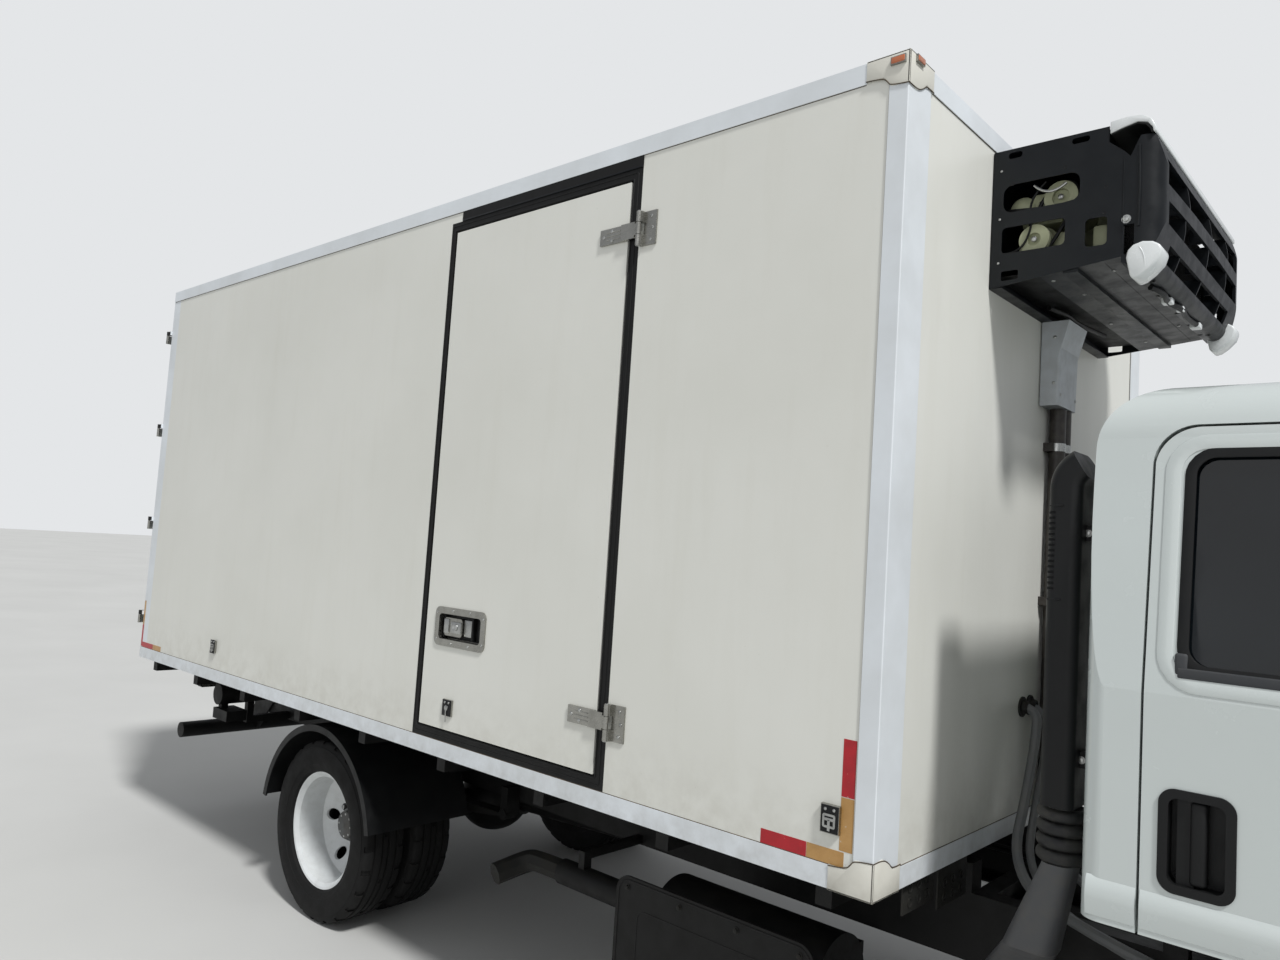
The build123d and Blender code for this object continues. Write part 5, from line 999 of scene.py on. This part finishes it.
def road_tyre(middle_y):
    """One road tyre: crown with grooves, lugs cut into the shoulders, rings on the sidewalls."""
    half = TREAD + WALL_RINGS + BEAD
    rows = [(-across, radius) for across, radius in reversed(half)]
    tyre = turned((0, middle_y, 0), (0, 1, 0), [*rows, *half[1:], rows[0]], TYRE_SECTIONS, solid=False)
    bpy.ops.object.mode_set(mode="EDIT")
    bpy.ops.mesh.select_all(action="DESELECT")
    bpy.ops.object.mode_set(mode="OBJECT")
    for face in tyre.data.polygons:
        middle = face.center
        away = math.hypot(middle.x, middle.z)
        off = abs(middle.y - middle_y)
        turn = round((math.atan2(middle.z, middle.x) / (2 * math.pi) * TYRE_SECTIONS) - 0.5)
        shoulder = 0.06 < off < 0.0985 and away > 0.388 and turn % 4 == 0
        face.select = shoulder or (off < 0.008 and turn % 8 == 2)
    bpy.ops.object.mode_set(mode="EDIT")
    bpy.ops.mesh.extrude_region_shrink_fatten(TRANSFORM_OT_shrink_fatten={"value": -0.006})
    bpy.ops.object.mode_set(mode="OBJECT")
    return tyre


# Wheel, body, middle, y of its nuts, y of its hub bolts and the radius that they stand on
WHEELS = (
    ("front", "front_wheel", FRONT_WHEEL, 0.985, 0.9915, 0.046),
    ("rear", "rear_wheels", REAR_WHEEL, 0.86, 0.9105, 0.05),
)
for side_name, side in SIDES:
    front = moved(road_tyre(side * 0.832), (FRONT_WHEEL.x, 0, FRONT_WHEEL.z))
    done(front, f"road_tyre_front_{side_name}", "tyre_black", f"front_wheel_{side_name}")
    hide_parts(f"front_tyre_{side_name}")
    twins = joined([road_tyre(side * 0.952), road_tyre(side * 0.698)])
    moved(twins, (REAR_WHEEL.x, 0, REAR_WHEEL.z))
    done(twins, f"road_tyres_rear_{side_name}", "tyre_black", f"rear_wheels_{side_name}")
    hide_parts(f"rear_tyres_{side_name}")
    for wheel, body, middle, nut_y, bolt_y, bolt_circle in WHEELS:
        ends = around((middle.x, side * nut_y, middle.z), 0.1111, 6, turn=math.radians(30))
        nuts = turned(ends[0], (0, side, 0), ((-0.004, 0.0105), (0.014, 0.0105), (0.016, 0.008)), 16)
        nuts = copied(nuts, [end - ends[0] for end in ends[1:]])
        heads = around((middle.x, side * bolt_y, middle.z), bolt_circle, 8)
        heads = bolt_heads(heads, (0, side, 0), 0.0055)
        stem = ((-0.055, 0.225), (-0.025, 0.215), (0.005, 0.195))
        stem = [(middle.x + 0.02, side * (nut_y + out), middle.z + up) for out, up in stem]
        studs = [nuts, heads, line_of(stem, 0.004)]
        done(studs, f"wheel_studs_{wheel}_{side_name}", ZINC, f"{body}_{side_name}")

# Chassis: spring clamps, dampers, air tanks, pipes, tank fittings, plate bolts and hoses
clamp_bars = []
for axle_x, spring_y, low, high in ((FRONT_WHEEL.x, 0.39, 0.33, 0.49), (REAR_WHEEL.x, 0.47, 0.34, 0.56)):
    for x in (-0.045, 0.045):
        foot = (axle_x + x, -spring_y, 0)
        arch = about(foot, (0, -0.047, low), (0, -0.047, high), (0, 0.047, high), (0, 0.047, low))
        clamp_bars.append(line_of(arch, 0.008, straight=True))
        nuts = about(foot, (0, -0.047, low + 0.012), (0, 0.047, low + 0.012))
        clamp_bars.append(bolt_heads(nuts, DOWN, 0.012))
done(both_sides(*clamp_bars), "spring_clamp_bars", "chassis_black")
rows = ((0, 0.03), (0.2, 0.03), (0.205, 0.024), (0.205, 0.012), (0.33, 0.012))
front_damper = turned((FRONT_WHEEL.x - 0.12, -0.47, 0.4), (-0.12, 0.0, 1.0), rows, 20)
rows = ((0, 0.032), (0.2, 0.032), (0.205, 0.026), (0.205, 0.013), (0.3, 0.013))
rear_damper = turned((REAR_WHEEL.x + 0.1, -0.4, 0.44), (0.35, 0.0, 1.0), rows, 20)
done(both_sides(front_damper, rear_damper), "dampers", IRON)


def air_tank(centre, length, radius):
    """A pressed air tank with domed ends and its two straps."""
    half = length / 2
    end = ((0, 0.02), (0.004, radius * 0.6), (0.03, radius * 0.93), (0.05, radius))
    rows = [(-half + along, size) for along, size in end]
    rows += [(half - along, size) for along, size in end[::-1]]
    made = [turned(centre, FORWARD, rows, 28)]
    for x in (-half * 0.55, half * 0.55):
        made.append(band(about(centre, (x, 0, 0))[0], FORWARD, 0.015, radius, radius + 0.003, 28))
        hanger = ((x - 0.012, -0.014, radius - 0.005), (x + 0.012, 0.014, 0.805 - centre[2]), 0.002)
        made += slabs(centre, hanger)
    return joined(made)


done([air_tank((-0.45, y, 0.69), 0.56, 0.075) for y in (-0.2, 0.2)], "air_tanks", "chassis_black")
BRAKE = ((2.9, 0.345, 0.76), (1.6, 0.345, 0.76), (0.4, 0.345, 0.755), (-0.9, 0.345, 0.76))
BRAKE += ((-1.35, 0.33, 0.74), (-1.44, 0.3, 0.6), (-1.46, 0.25, 0.52))
FUEL = ((2.7, 0.735), (1.2, 0.735), (0.0, 0.73), (-1.2, 0.735), (-2.6, 0.74), (-3.2, 0.74))
LOOM = ((2.2, 0.76), (0.9, 0.765), (-0.6, 0.76), (-2.0, 0.76), (-3.25, 0.76))
pipes = [
    line_of(BRAKE, 0.006),
    line_of([(x, 0.343, z) for x, z in FUEL], 0.009),
    line_of([(x, -0.345, z) for x, z in LOOM], 0.007),
]
done(pipes, "frame_pipes", ("plastic_black", hose_rubber))
cap = ((-0.003, 0.05), (0.004, 0.056), (0.012, 0.056), (0.012, 0.03), (0.018, 0.024), (0.018, 0.01))
tank_parts = [
    turned((0.755, 0.973, 0.66), (0, 1, 0), cap, 24),
    bolt_heads([(x, 0.957, z) for z in (0.76, 0.36) for x in (0.5375, 0.9775)], (0, 1, 0), 0.007),
]
done(tank_parts, "tank_cap_and_bolts", "plastic_black")
lid = slabs(
    ORIGIN,
    ((1.16, 0.515, 0.7605), (1.47, 0.965, 0.772), 0.005),
    ((1.25, 0.96, 0.7), (1.29, 0.972, 0.775), 0.003),
    ((1.36, 0.96, 0.7), (1.4, 0.972, 0.775), 0.003),
)
done(lid, "battery_lid", "plastic_black")
plate_x = BODY_FRONT - 1.019
plate_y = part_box("exhaust_box")[0].y
spots = [(plate_x + 0.05 + 0.223 * step, plate_y, z) for step in range(4) for z in (0.33, 0.68)]
done(bolt_heads(spots, RIGHT, 0.007), "cover_plate_bolts", IRON)
edge = rounded_box((plate_x + 0.012, 0.302), (plate_x + 0.757, 0.704), 0.045, 5)
press = rounded_box((plate_x + 0.1, 0.39), (plate_x + 0.67, 0.62), 0.03, 5)
beads = ((edge, 0.0035), (press, 0.0025))
beads = [hoop([(x, plate_y + 0.001, z) for x, z in line], radius) for line, radius in beads]
done(beads, "cover_plate_beads", "chassis_black")
tail = ((-0.13, -0.74, 0.52), (-0.26, -0.74, 0.52), (-0.32, -0.745, 0.515), (-0.36, -0.8, 0.49))
tail = line_of((*tail, (-0.38, -0.88, 0.47)), 0.043)
done(tail, "exhaust_tail", IRON)


def pierced_plate(low_y, width, low_z):
    """A dark plate that hangs under the body's front rail, pierced by two rows of holes."""
    face = BODY_FRONT - 0.028
    hole = ((0, 0.014), (0.003, 0.014), (0.003, 0.01), (0.0003, 0.0095))
    made = [slab((face - 0.006, low_y, low_z), (face, low_y + width, BODY_BOTTOM + 0.002), 0.002)]
    for across in (0.22, 0.5, 0.78):
        for up in (0.028, 0.068):
            made.append(turned((face, low_y + width * across, low_z + up), FORWARD, hole, 16))
    return joined(made)


plates = [pierced_plate(-0.93, 0.195, 0.856), pierced_plate(-0.705, 0.205, 0.82)]
done(plates, "front_sill_plates", IRON)
FEED = ((1.402, -0.15, 1.36), (1.45, -0.15, 1.36), (1.46, -0.17, 1.28), (1.455, -0.24, 1.08))
FEED += ((1.47, -0.38, 0.93), (1.6, -0.5, 0.84), (1.9, -0.5, 0.78))
RETURN = ((1.402, -0.08, 1.36), (1.46, -0.08, 1.35), (1.475, -0.12, 1.22), (1.47, -0.2, 1.04))
RETURN += ((1.5, -0.34, 0.9), (1.66, -0.44, 0.8), (1.92, -0.44, 0.74))
CABLE = ((1.44, 0.008, 1.02), (1.46, 0.0, 0.96), (1.52, -0.1, 0.88), (1.7, -0.2, 0.8), (1.9, -0.3, 0.76))
coolant = [line_of(FEED, 0.016), line_of(RETURN, 0.013), line_of(CABLE, 0.014)]
done(coolant, "coolant_hoses", ("seal_black", grey_sleeve))
flange = ((0, 0.034), (0.006, 0.034), (0.008, 0.022), (0.024, 0.02))
flanges = [turned((BODY_FRONT - 0.004, y, 1.36), FORWARD, flange, 24) for y in (-0.15, -0.08)]
done(flanges, "coolant_hose_flanges", IRON)


# Cab: window rubbers, sill crease, gutter, wipers, lamps, steps, mirrors and bumper details
SKIRT = ((1.016, 1.128), (1.0215, 1.122), (1.0285, 1.096), (1.0285, 1.078), (1.0225, 1.04), (1.016, 1.034))


def cab_side_y(z):
    """Half width of the cab's side at a height: upright below 1.56 m and leaning in above it."""
    return 1.02 - max(0.0, z - 1.56) * 62 / 590


def screen_x(z):
    """How far forward the leaning front of the cab is at a height."""
    return CAB_FRONT - 0.06 - (z - 1.45) * 280 / 785


def pressed_skirt(x_low, x_high, side):
    """The pressed lower skirt of the cab's side: a slanting upper edge, a flat band, a tucked lower edge."""
    return cut_sheet([(x_low, side * y, z) for y, z in SKIRT], (x_high - x_low, 0, 0))


def mirror_sheet(x, half, low, high, radius, steps, **cut):
    """A flat piece of the mirror on the side that is being built, facing backwards."""
    outline = rounded_box((-half, low), (half, high), radius, steps)
    return cut_sheet([(CAB_FRONT - x, side * (1.15 + y), z) for y, z in outline], **cut)


window_corners = [
    (CAB_BACK + 0.206, 1.612),
    (CAB_BACK + 0.206, 2.118),
    (CAB_FRONT - 0.572, 2.118),
    (CAB_FRONT - 0.402, 1.702),
    (CAB_FRONT - 0.44, 1.612),
]
# How far the raised border stands outside the window's corners
BORDER = ((-0.052, -0.044), (-0.052, 0.036), (0.05, 0.036), (0.058, -0.01), (0.052, -0.044))
for side_name, side in SIDES:
    body = f"cab_door_{side_name}"
    outline = rounded(window_corners, 0.062, 6)
    middle = Vector((sum(x for x, z in outline) / len(outline), sum(z for x, z in outline) / len(outline)))
    outer = []
    for corner in outline:
        away = corner - middle
        spot = middle + away * (1 + 0.012 / away.length)
        outer.append((spot.x, side * (cab_side_y(spot.y) - 0.004), spot.y))
    rubber = cut_sheet(outer, (0, side * 0.0065, 0), border=0.024, round_off=0.002)
    done(rubber, f"window_rubber_{side_name}", RUBBER, body)
    sill = [
        slab((CAB_BACK + 0.198, side * 1.004, 1.6), (CAB_FRONT - 0.452, side * 1.0205, 1.6235), 0.004, 3),
        slab((CAB_BACK + 0.192, side * 1.0, 1.606), (CAB_BACK + 0.218, side * 1.019, 1.655), 0.006, 3),
    ]
    done(sill, f"window_sill_strip_{side_name}", "plastic_grey", body)
    skirt = pressed_skirt(CAB_BACK + 0.1355, CAB_FRONT - 0.365, side)
    done(skirt, f"door_crease_{side_name}", "cab_white", body)
    border = rounded([(a + dx, b + dz) for (a, b), (dx, dz) in zip(window_corners, BORDER)], 0.085, 6)
    border = [(x, side * (cab_side_y(z) - 0.002), z) for x, z in border]
    border = cut_sheet(border, (0, side * 0.0045, 0), border=0.034, round_off=0.0022)
    done(border, f"window_border_{side_name}", "cab_white", body)
    glass = mirror_sheet(0.3515, 0.064, 1.585, 1.8, 0.02, 4, thickness=(-0.002, 0, 0))
    wide = mirror_sheet(0.3515, 0.064, 1.815, 1.94, 0.02, 4, thickness=(-0.002, 0, 0))
    done([glass, wide], f"mirror_glass_{side_name}", SILVER, body)
    rim = {"thickness": (-0.004, 0, 0), "border": 0.008, "round_off": 0.001}
    rim = mirror_sheet(0.3505, 0.074, 1.57, 1.952, 0.028, 5, **rim)
    done(rim, f"mirror_rim_{side_name}", "plastic_black", body)
    # Pull bar and key barrel in the handle's recess
    grip = slab((CAB_BACK + 0.229, side * 0.984, 1.156), (CAB_BACK + 0.262, side * 1.019, 1.338), 0.01, 4)
    barrel = ((0, 0.01), (0.022, 0.01), (0.024, 0.007), (0.021, 0.005))
    barrel = turned((CAB_BACK + 0.207, side * 0.986, 1.17), (0, side, 0), barrel, 20)
    done([grip, barrel], f"door_grip_{side_name}", "plastic_black", body)
    # Door card, arm rest and pocket
    card = [
        slab((CAB_BACK + 0.2, side * 0.951, 1.1), (CAB_FRONT - 0.42, side * 0.9595, 1.58), 0.004),
        slab((CAB_BACK + 0.35, side * 0.91, 1.36), (CAB_FRONT - 0.62, side * 0.955, 1.42), 0.016, 3),
        slab((CAB_BACK + 0.45, side * 0.925, 1.14), (CAB_FRONT - 0.5, side * 0.955, 1.24), 0.012, 3),
    ]
    done(card, f"door_card_{side_name}", "plastic_grey", body)

skirt = pressed_skirt(CAB_BACK + 0.022, CAB_BACK + 0.1265, -1)
done(both_sides(skirt), "cab_rear_crease", "cab_white", "cab")
gutter = [
    *about(CAB_TAIL, (0.12, -0.951, 2.15), (0.16, -0.946, 2.187), (0.26, -0.943, 2.196)),
    *about(CAB_NOSE, (-0.62, -0.943, 2.196), (-0.52, -0.946, 2.184)),
]
done(both_sides(line_of(gutter, 0.0055)), "roof_gutters", "cab_white", "cab")
screen = rounded([(-0.905, 1.49), (-0.802, 2.198), (0.802, 2.198), (0.905, 1.49)], 0.085, 6)
screen = [(screen_x(z) - 0.003, y, z) for y, z in screen]
screen = cut_sheet(screen, (0.007, 0, 0.0025), border=0.03, round_off=0.002)
rear_screen = rounded_box((-0.664, 1.626), (0.664, 2.074), 0.084, 6)
rear_screen = [(CAB_BACK + 0.002, y, z) for y, z in rear_screen]
rear_screen = cut_sheet(rear_screen, (-0.006, 0, 0), border=0.03, round_off=0.002)
done([screen, rear_screen], "screen_rubbers", RUBBER, "cab")
wipers = []
for foot_y, tip_y in ((0.1, 0.62), (-0.62, -0.1)):
    foot = Vector((screen_x(1.475) + 0.012, foot_y, 1.475))
    tip = Vector((screen_x(1.9) + 0.012, tip_y, 1.9))
    wipers.append(line_of([foot, foot.lerp(tip, 0.55) + Vector((0.01, 0, 0))], 0.006))
    wipers.append(line_of([foot.lerp(tip, 0.4) + Vector((0.006, 0, 0)), tip], 0.0035))
    wipers += slabs(foot, ((-0.012, -0.02, -0.02), (0.008, 0.02, 0.02), 0.005))
    blade = [(screen_x(z) + 0.005, tip_y + aside, z) for aside, z in ((-0.22, 1.56), (0.04, 2.1))]
    wipers.append(line_of(blade, 0.0055))
done(wipers, "windscreen_wipers", "plastic_black", "cab")
cowl, slat = slabs(
    CAB_NOSE,
    ((-0.06, -0.78, 1.375), (-0.048, 0.78, 1.452), 0.004),
    ((-0.05, -0.74, 1.388), (-0.046, 0.74, 1.392), 0.001, 1),
)
done([cowl, row_of(slat, (0, 0, 0.01), 6)], "cowl_grille", "plastic_black", "cab")

RIM = ((0, 0.061), (0.01, 0.061), (0.012, 0.055), (0.004, 0.048))
BULB = ((0.004, 0.047), (0.01, 0.044), (0.015, 0.034), (0.018, 0.018), (0.019, 0.005))
# Across, back from the cab's nose, and lean of each headlamp on the lens
HEADLAMPS = ((0.735, 0.041, 0.12), (0.865, 0.061, 0.25))
rims, bulbs = [], []
for y, back, lean in HEADLAMPS:
    place = (CAB_FRONT - back, -y, 1.05)
    rims.append(turned(place, (1, -lean, 0), RIM))
    bulbs.append(turned(place, (1, -lean, 0), BULB))
done(both_sides(*rims), "headlamp_rims", SILVER, "cab")
done(both_sides(*bulbs), "headlamp_domes", "lamp_clear", "cab")
turn_lamp = slabs(CAB_NOSE, ((-0.165, -0.984, 1.185), (-0.105, -0.915, 1.24), 0.01, 3))
done(both_sides(*turn_lamp), "turn_lamps", AMBER, "cab")
fog = ((-0.002, 0.06), (0.008, 0.06), (0.01, 0.052), (0.016, 0.04), (0.019, 0.02), (0.02, 0.005))
fog = turned((BUMPER_FRONT - 0.036, -0.76, 0.6), FORWARD, fog)
done(both_sides(fog), "fog_lenses", "lamp_clear")
fog_rim = ((0, 0.0615), (0.01, 0.0615), (0.012, 0.057), (0.0, 0.054))
fog_rim = turned((BUMPER_FRONT - 0.034, -0.76, 0.6), FORWARD, fog_rim, solid=False)
bar, backing = slabs(
    BUMPER,
    ((-0.026, -0.44, 0.552), (-0.022, 0.44, 0.56), 0.001, 1),
    ((-0.028, -0.445, 0.55), (-0.0255, 0.445, 0.65), 0.001, 1),
)
bumper_grille = [both_sides(fog_rim), row_of(bar, (0, 0, 0.0145), 7), backing]
done(bumper_grille, "bumper_grille", "plastic_black")
tread, tooth, upper = slabs(
    ORIGIN,
    ((3.06, -0.995, 0.5195), (3.28, -0.775, 0.5235), 0.001, 1),
    ((3.07, -0.99, 0.523), (3.078, -0.78, 0.5265), 0.001, 1),
    ((3.03, -1.0, 0.6395), (3.3, -0.7, 0.6435), 0.001, 1),
)
done(both_sides(tread, row_of(tooth, (0.02, 0, 0), 11), upper), "step_treads", "tank_alloy")
(bar,) = slabs(CAB_NOSE, ((-0.012, -0.52, 1.035), (0.006, 0.52, 1.043), 0.003))
done(row_of(bar, (0, 0, 0.062), 3), "grille_bars", "plastic_grey", "cab")

# Cab interior: wheel rim and hub, dials, vents, gear lever, pedals and belts
slope = Vector((0.743, 0, -0.669))
wheel_middle = Vector((CAB_FRONT - 0.59, 0.52, 1.56)) + slope * 0.012
column = slope.normalized()
across = Vector((0, 1, 0))
wheel_rim = hoop(around(wheel_middle, 0.2025, 36, across, column.cross(across)), 0.0175)
hub_pad = ((0, 0.072), (0.016, 0.07), (0.024, 0.056), (0.027, 0.02))
hub_pad = turned(wheel_middle - column * 0.014, -column, hub_pad, 28)
done([wheel_rim, hub_pad], "steering_wheel_grip", "plastic_black", "cab", angle=50)
hood = slabs(
    CAB_NOSE,
    ((-0.445, 0.34, 1.445), (-0.3, 0.7, 1.515), 0.03, 4),
    ((-0.475, -0.16, 1.262), (-0.44, 0.16, 1.418), 0.01, 3),
)
done(hood, "dash_hood", "plastic_grey", "cab")
dial = ((0, 0.027), (0.002, 0.027), (0.003, 0.024), (0.0015, 0.023))
dials = [turned((CAB_FRONT - 0.446, y, 1.48), (-1, 0, 0.25), dial, 28) for y in (0.42, 0.5, 0.58, 0.64)]
vents = [((-0.47, y - 0.06, 1.375), (-0.458, y + 0.06, 1.405), 0.004) for y in (-0.72, -0.3, 0.78)]
done(dials + slabs(CAB_NOSE, *vents), "dash_dials_and_vents", "plastic_black", "cab")
knob = ((0, 0.014), (0.01, 0.024), (0.035, 0.028), (0.055, 0.02), (0.062, 0.006))
boot = ((0, 0.075), (0.01, 0.07), (0.04, 0.045), (0.055, 0.05), (0.09, 0.022))
lever = [
    *lines(CAB_NOSE, (0.01, (-0.62, 0.16, 1.09), (-0.62, 0.16, 1.3), (-0.66, 0.18, 1.46))),
    turned((CAB_FRONT - 0.66, 0.18, 1.45), (-0.2, 0.1, 1.0), knob, 20),
    turned((CAB_FRONT - 0.62, 0.16, 1.086), UP, boot, 24),
]
for y in (0.38, 0.5, 0.62):
    lever += slabs(CAB_NOSE, ((-0.33, y - 0.03, 1.08), (-0.315, y + 0.03, 1.15), 0.005))
    lever += lines(CAB_NOSE, (0.007, (-0.315, y, 1.13), (-0.28, y, 1.22), (-0.25, y, 1.27)))
done(lever, "lever_and_pedals", "plastic_black", "cab")
belt_runs = []
for y in (0.885, -0.885):
    run = ((0.17, y, 2.02), (0.19, y, 1.7), (0.22, y * 0.985, 1.35), (0.25, y * 0.96, 1.1))
    low_y, high_y = min(y, y * 1.02) - 0.01, max(y, y * 1.02) + 0.005
    belt_runs += lines(CAB_TAIL, (0.004, *run))
    belt_runs += slabs(CAB_TAIL, ((0.15, low_y, 2.0), (0.195, high_y, 2.05), 0.006))
done(belt_runs, "belt_runs", "plastic_black", "cab")
visors = slabs(CAB_NOSE, ((-0.47, 0.2, 2.085), (-0.445, 0.74, 2.215), 0.01, 3))
done(both_sides(*visors), "sun_visors", "plastic_grey", "cab")

# Seats: cushions and backrests blown up from slightly smaller slabs, over a plain plinth
VOXEL = 0.012
CLOTH_STEPS = 20
PRESSURE = 4.0
STIFFNESS = 15.0


def cushion(low, high, name, swell):
    """A padded block: remeshed, swollen as cloth no further than it may, then smoothed."""
    pad = slab(Vector(low) + Vector((swell,) * 3), Vector(high) - Vector((swell,) * 3), 0.035, 3)
    modified(pad, "REMESH", mode="VOXEL", voxel_size=VOXEL)
    start = [vertex.co.copy() for vertex in pad.data.vertices]
    blow = pad.modifiers.new("blow", "CLOTH")
    blow.settings.use_pressure = True
    blow.settings.uniform_pressure_force = PRESSURE
    blow.settings.effector_weights.gravity = 0.0
    blow.settings.tension_stiffness = STIFFNESS
    for step in range(1, CLOTH_STEPS + 1):
        scene.frame_set(step)
    bpy.ops.object.modifier_apply(modifier=blow.name)
    scene.frame_set(1)
    for vertex, place in zip(pad.data.vertices, start):
        shift = vertex.co - place
        if shift.length > swell * 0.9:
            vertex.co = place + shift.normalized() * swell * 0.9
    modified(pad, "SUBSURF", levels=1, render_levels=1)
    done(pad, name, "seat_cloth", "cab", angle=80)
    return pad


SEAT_BACK = CAB_BACK + 0.19
SEAT_FRONT = CAB_BACK + 0.85
for seat, low_y, high_y in (("driver", 0.27, 0.77), ("passenger", -0.81, 0.05)):
    base = cushion((SEAT_BACK + 0.145, low_y, 1.195), (SEAT_FRONT, high_y, 1.4), f"{seat}_cushion", 0.022)
    rest = ((SEAT_BACK, low_y + 0.01, 1.395), (SEAT_BACK + 0.138, high_y - 0.01, 2.0))
    cushion(*rest, f"{seat}_backrest", 0.016)
    plinth = slabs(
        CAB_TAIL,
        ((0.262, low_y + 0.042, 1.0865), (0.798, high_y - 0.042, 1.2), 0.012),
        ((0.25, low_y + 0.1, 1.33), (0.32, high_y - 0.1, 1.4), 0.01),
    )
    done(plinth, f"{seat}_plinth", "plastic_black", "cab")
    if seat == "driver":
        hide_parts("cab_seats")
    else:
        y = low_y + 0.43
        piping = line_of([(SEAT_BACK + 0.16, y, 1.398), (SEAT_FRONT - 0.04, y, 1.398)], 0.004)
        done(piping, "bench_piping", "plastic_black", "cab")

# Camera at the photograph's place, 26 mm lens, slightly rolled
CAMERA_PLACE = Vector((2.542, -3.386, 1.817))
TURN_LEFT = math.radians(42.25)
TURN_UP = math.radians(4.03)
ROLL = math.radians(3.71)
camera_data = bpy.data.cameras.new("photo_camera")
camera_data.sensor_width = 36.0
camera_data.lens = 26.09
camera_data.clip_start = 0.05
camera_data.clip_end = 200.0
camera = bpy.data.objects.new("photo_camera", camera_data)
scene.collection.objects.link(camera)
turn = Euler((math.pi / 2 + TURN_UP, 0.0, TURN_LEFT)).to_matrix() @ Matrix.Rotation(ROLL, 3, "Z")
camera.matrix_world = Matrix.Translation(CAMERA_PLACE) @ turn.to_4x4()
scene.camera = camera

# Floor and backdrop: one pale matt sheet under the truck and a pale world behind it
FLOOR_SIZE = 160
fresh()
bpy.ops.mesh.primitive_plane_add(size=FLOOR_SIZE, location=(0, 0, 0))
floor = bpy.context.active_object
floor.name = "studio_floor"
# Matt studio floor paint: pale grey, faintly cloudy
floor_paint, tree, shader, place = begin("studio_floor_paint", 0.85)
tone = stained(tree, "#BDBDBA", "#C4C4C1", patches(tree, place, 2.5, 0.3, 0.7), 1.0)
tree.links.new(tone, shader.inputs["Base Color"])
floor.data.materials.append(floor_paint)
floor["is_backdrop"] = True

world = bpy.data.worlds.new("studio_world")
scene.world = world
world.use_nodes = True
sky = world.node_tree
sky.nodes.clear()
rays = put(sky, "LightPath").outputs
straight = {0: rays["Is Camera Ray"], 1: rays["Is Transmission Ray"]}
seen = put(sky, "Math", straight, operation="MAXIMUM")
shown = put(sky, "Background", {"Color": "#E4E6E8", "Strength": 1.0})
lit = put(sky, "Background", {"Color": "#F2F5FA", "Strength": 0.5})
mixed = put(sky, "MixShader", {0: seen.outputs[0], 1: lit.outputs[0], 2: shown.outputs[0]})
put(sky, "OutputWorld", {"Surface": mixed.outputs[0]})


def lamp(name, kind, power, place, target, **size):
    """Add one studio lamp aimed at a point."""
    data = bpy.data.lights.new(name, kind)
    data.energy = power
    for key, value in size.items():
        setattr(data, key, value)
    made = bpy.data.objects.new(name, data)
    made.location = place
    made.rotation_euler = (Vector(target) - Vector(place)).to_track_quat("-Z", "Y").to_euler()
    scene.collection.objects.link(made)


lamp("key_from_front", "SUN", 2.9, (8.0, -3.0, 11.8), (0.0, 0.0, 1.2), angle=math.radians(7))
lamp("side_fill", "AREA", 60.0, (3.0, -9.5, 4.0), (0.0, 0.0, 1.6), size=6.0)
scene.view_settings.view_transform = "Standard"

low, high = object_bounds()
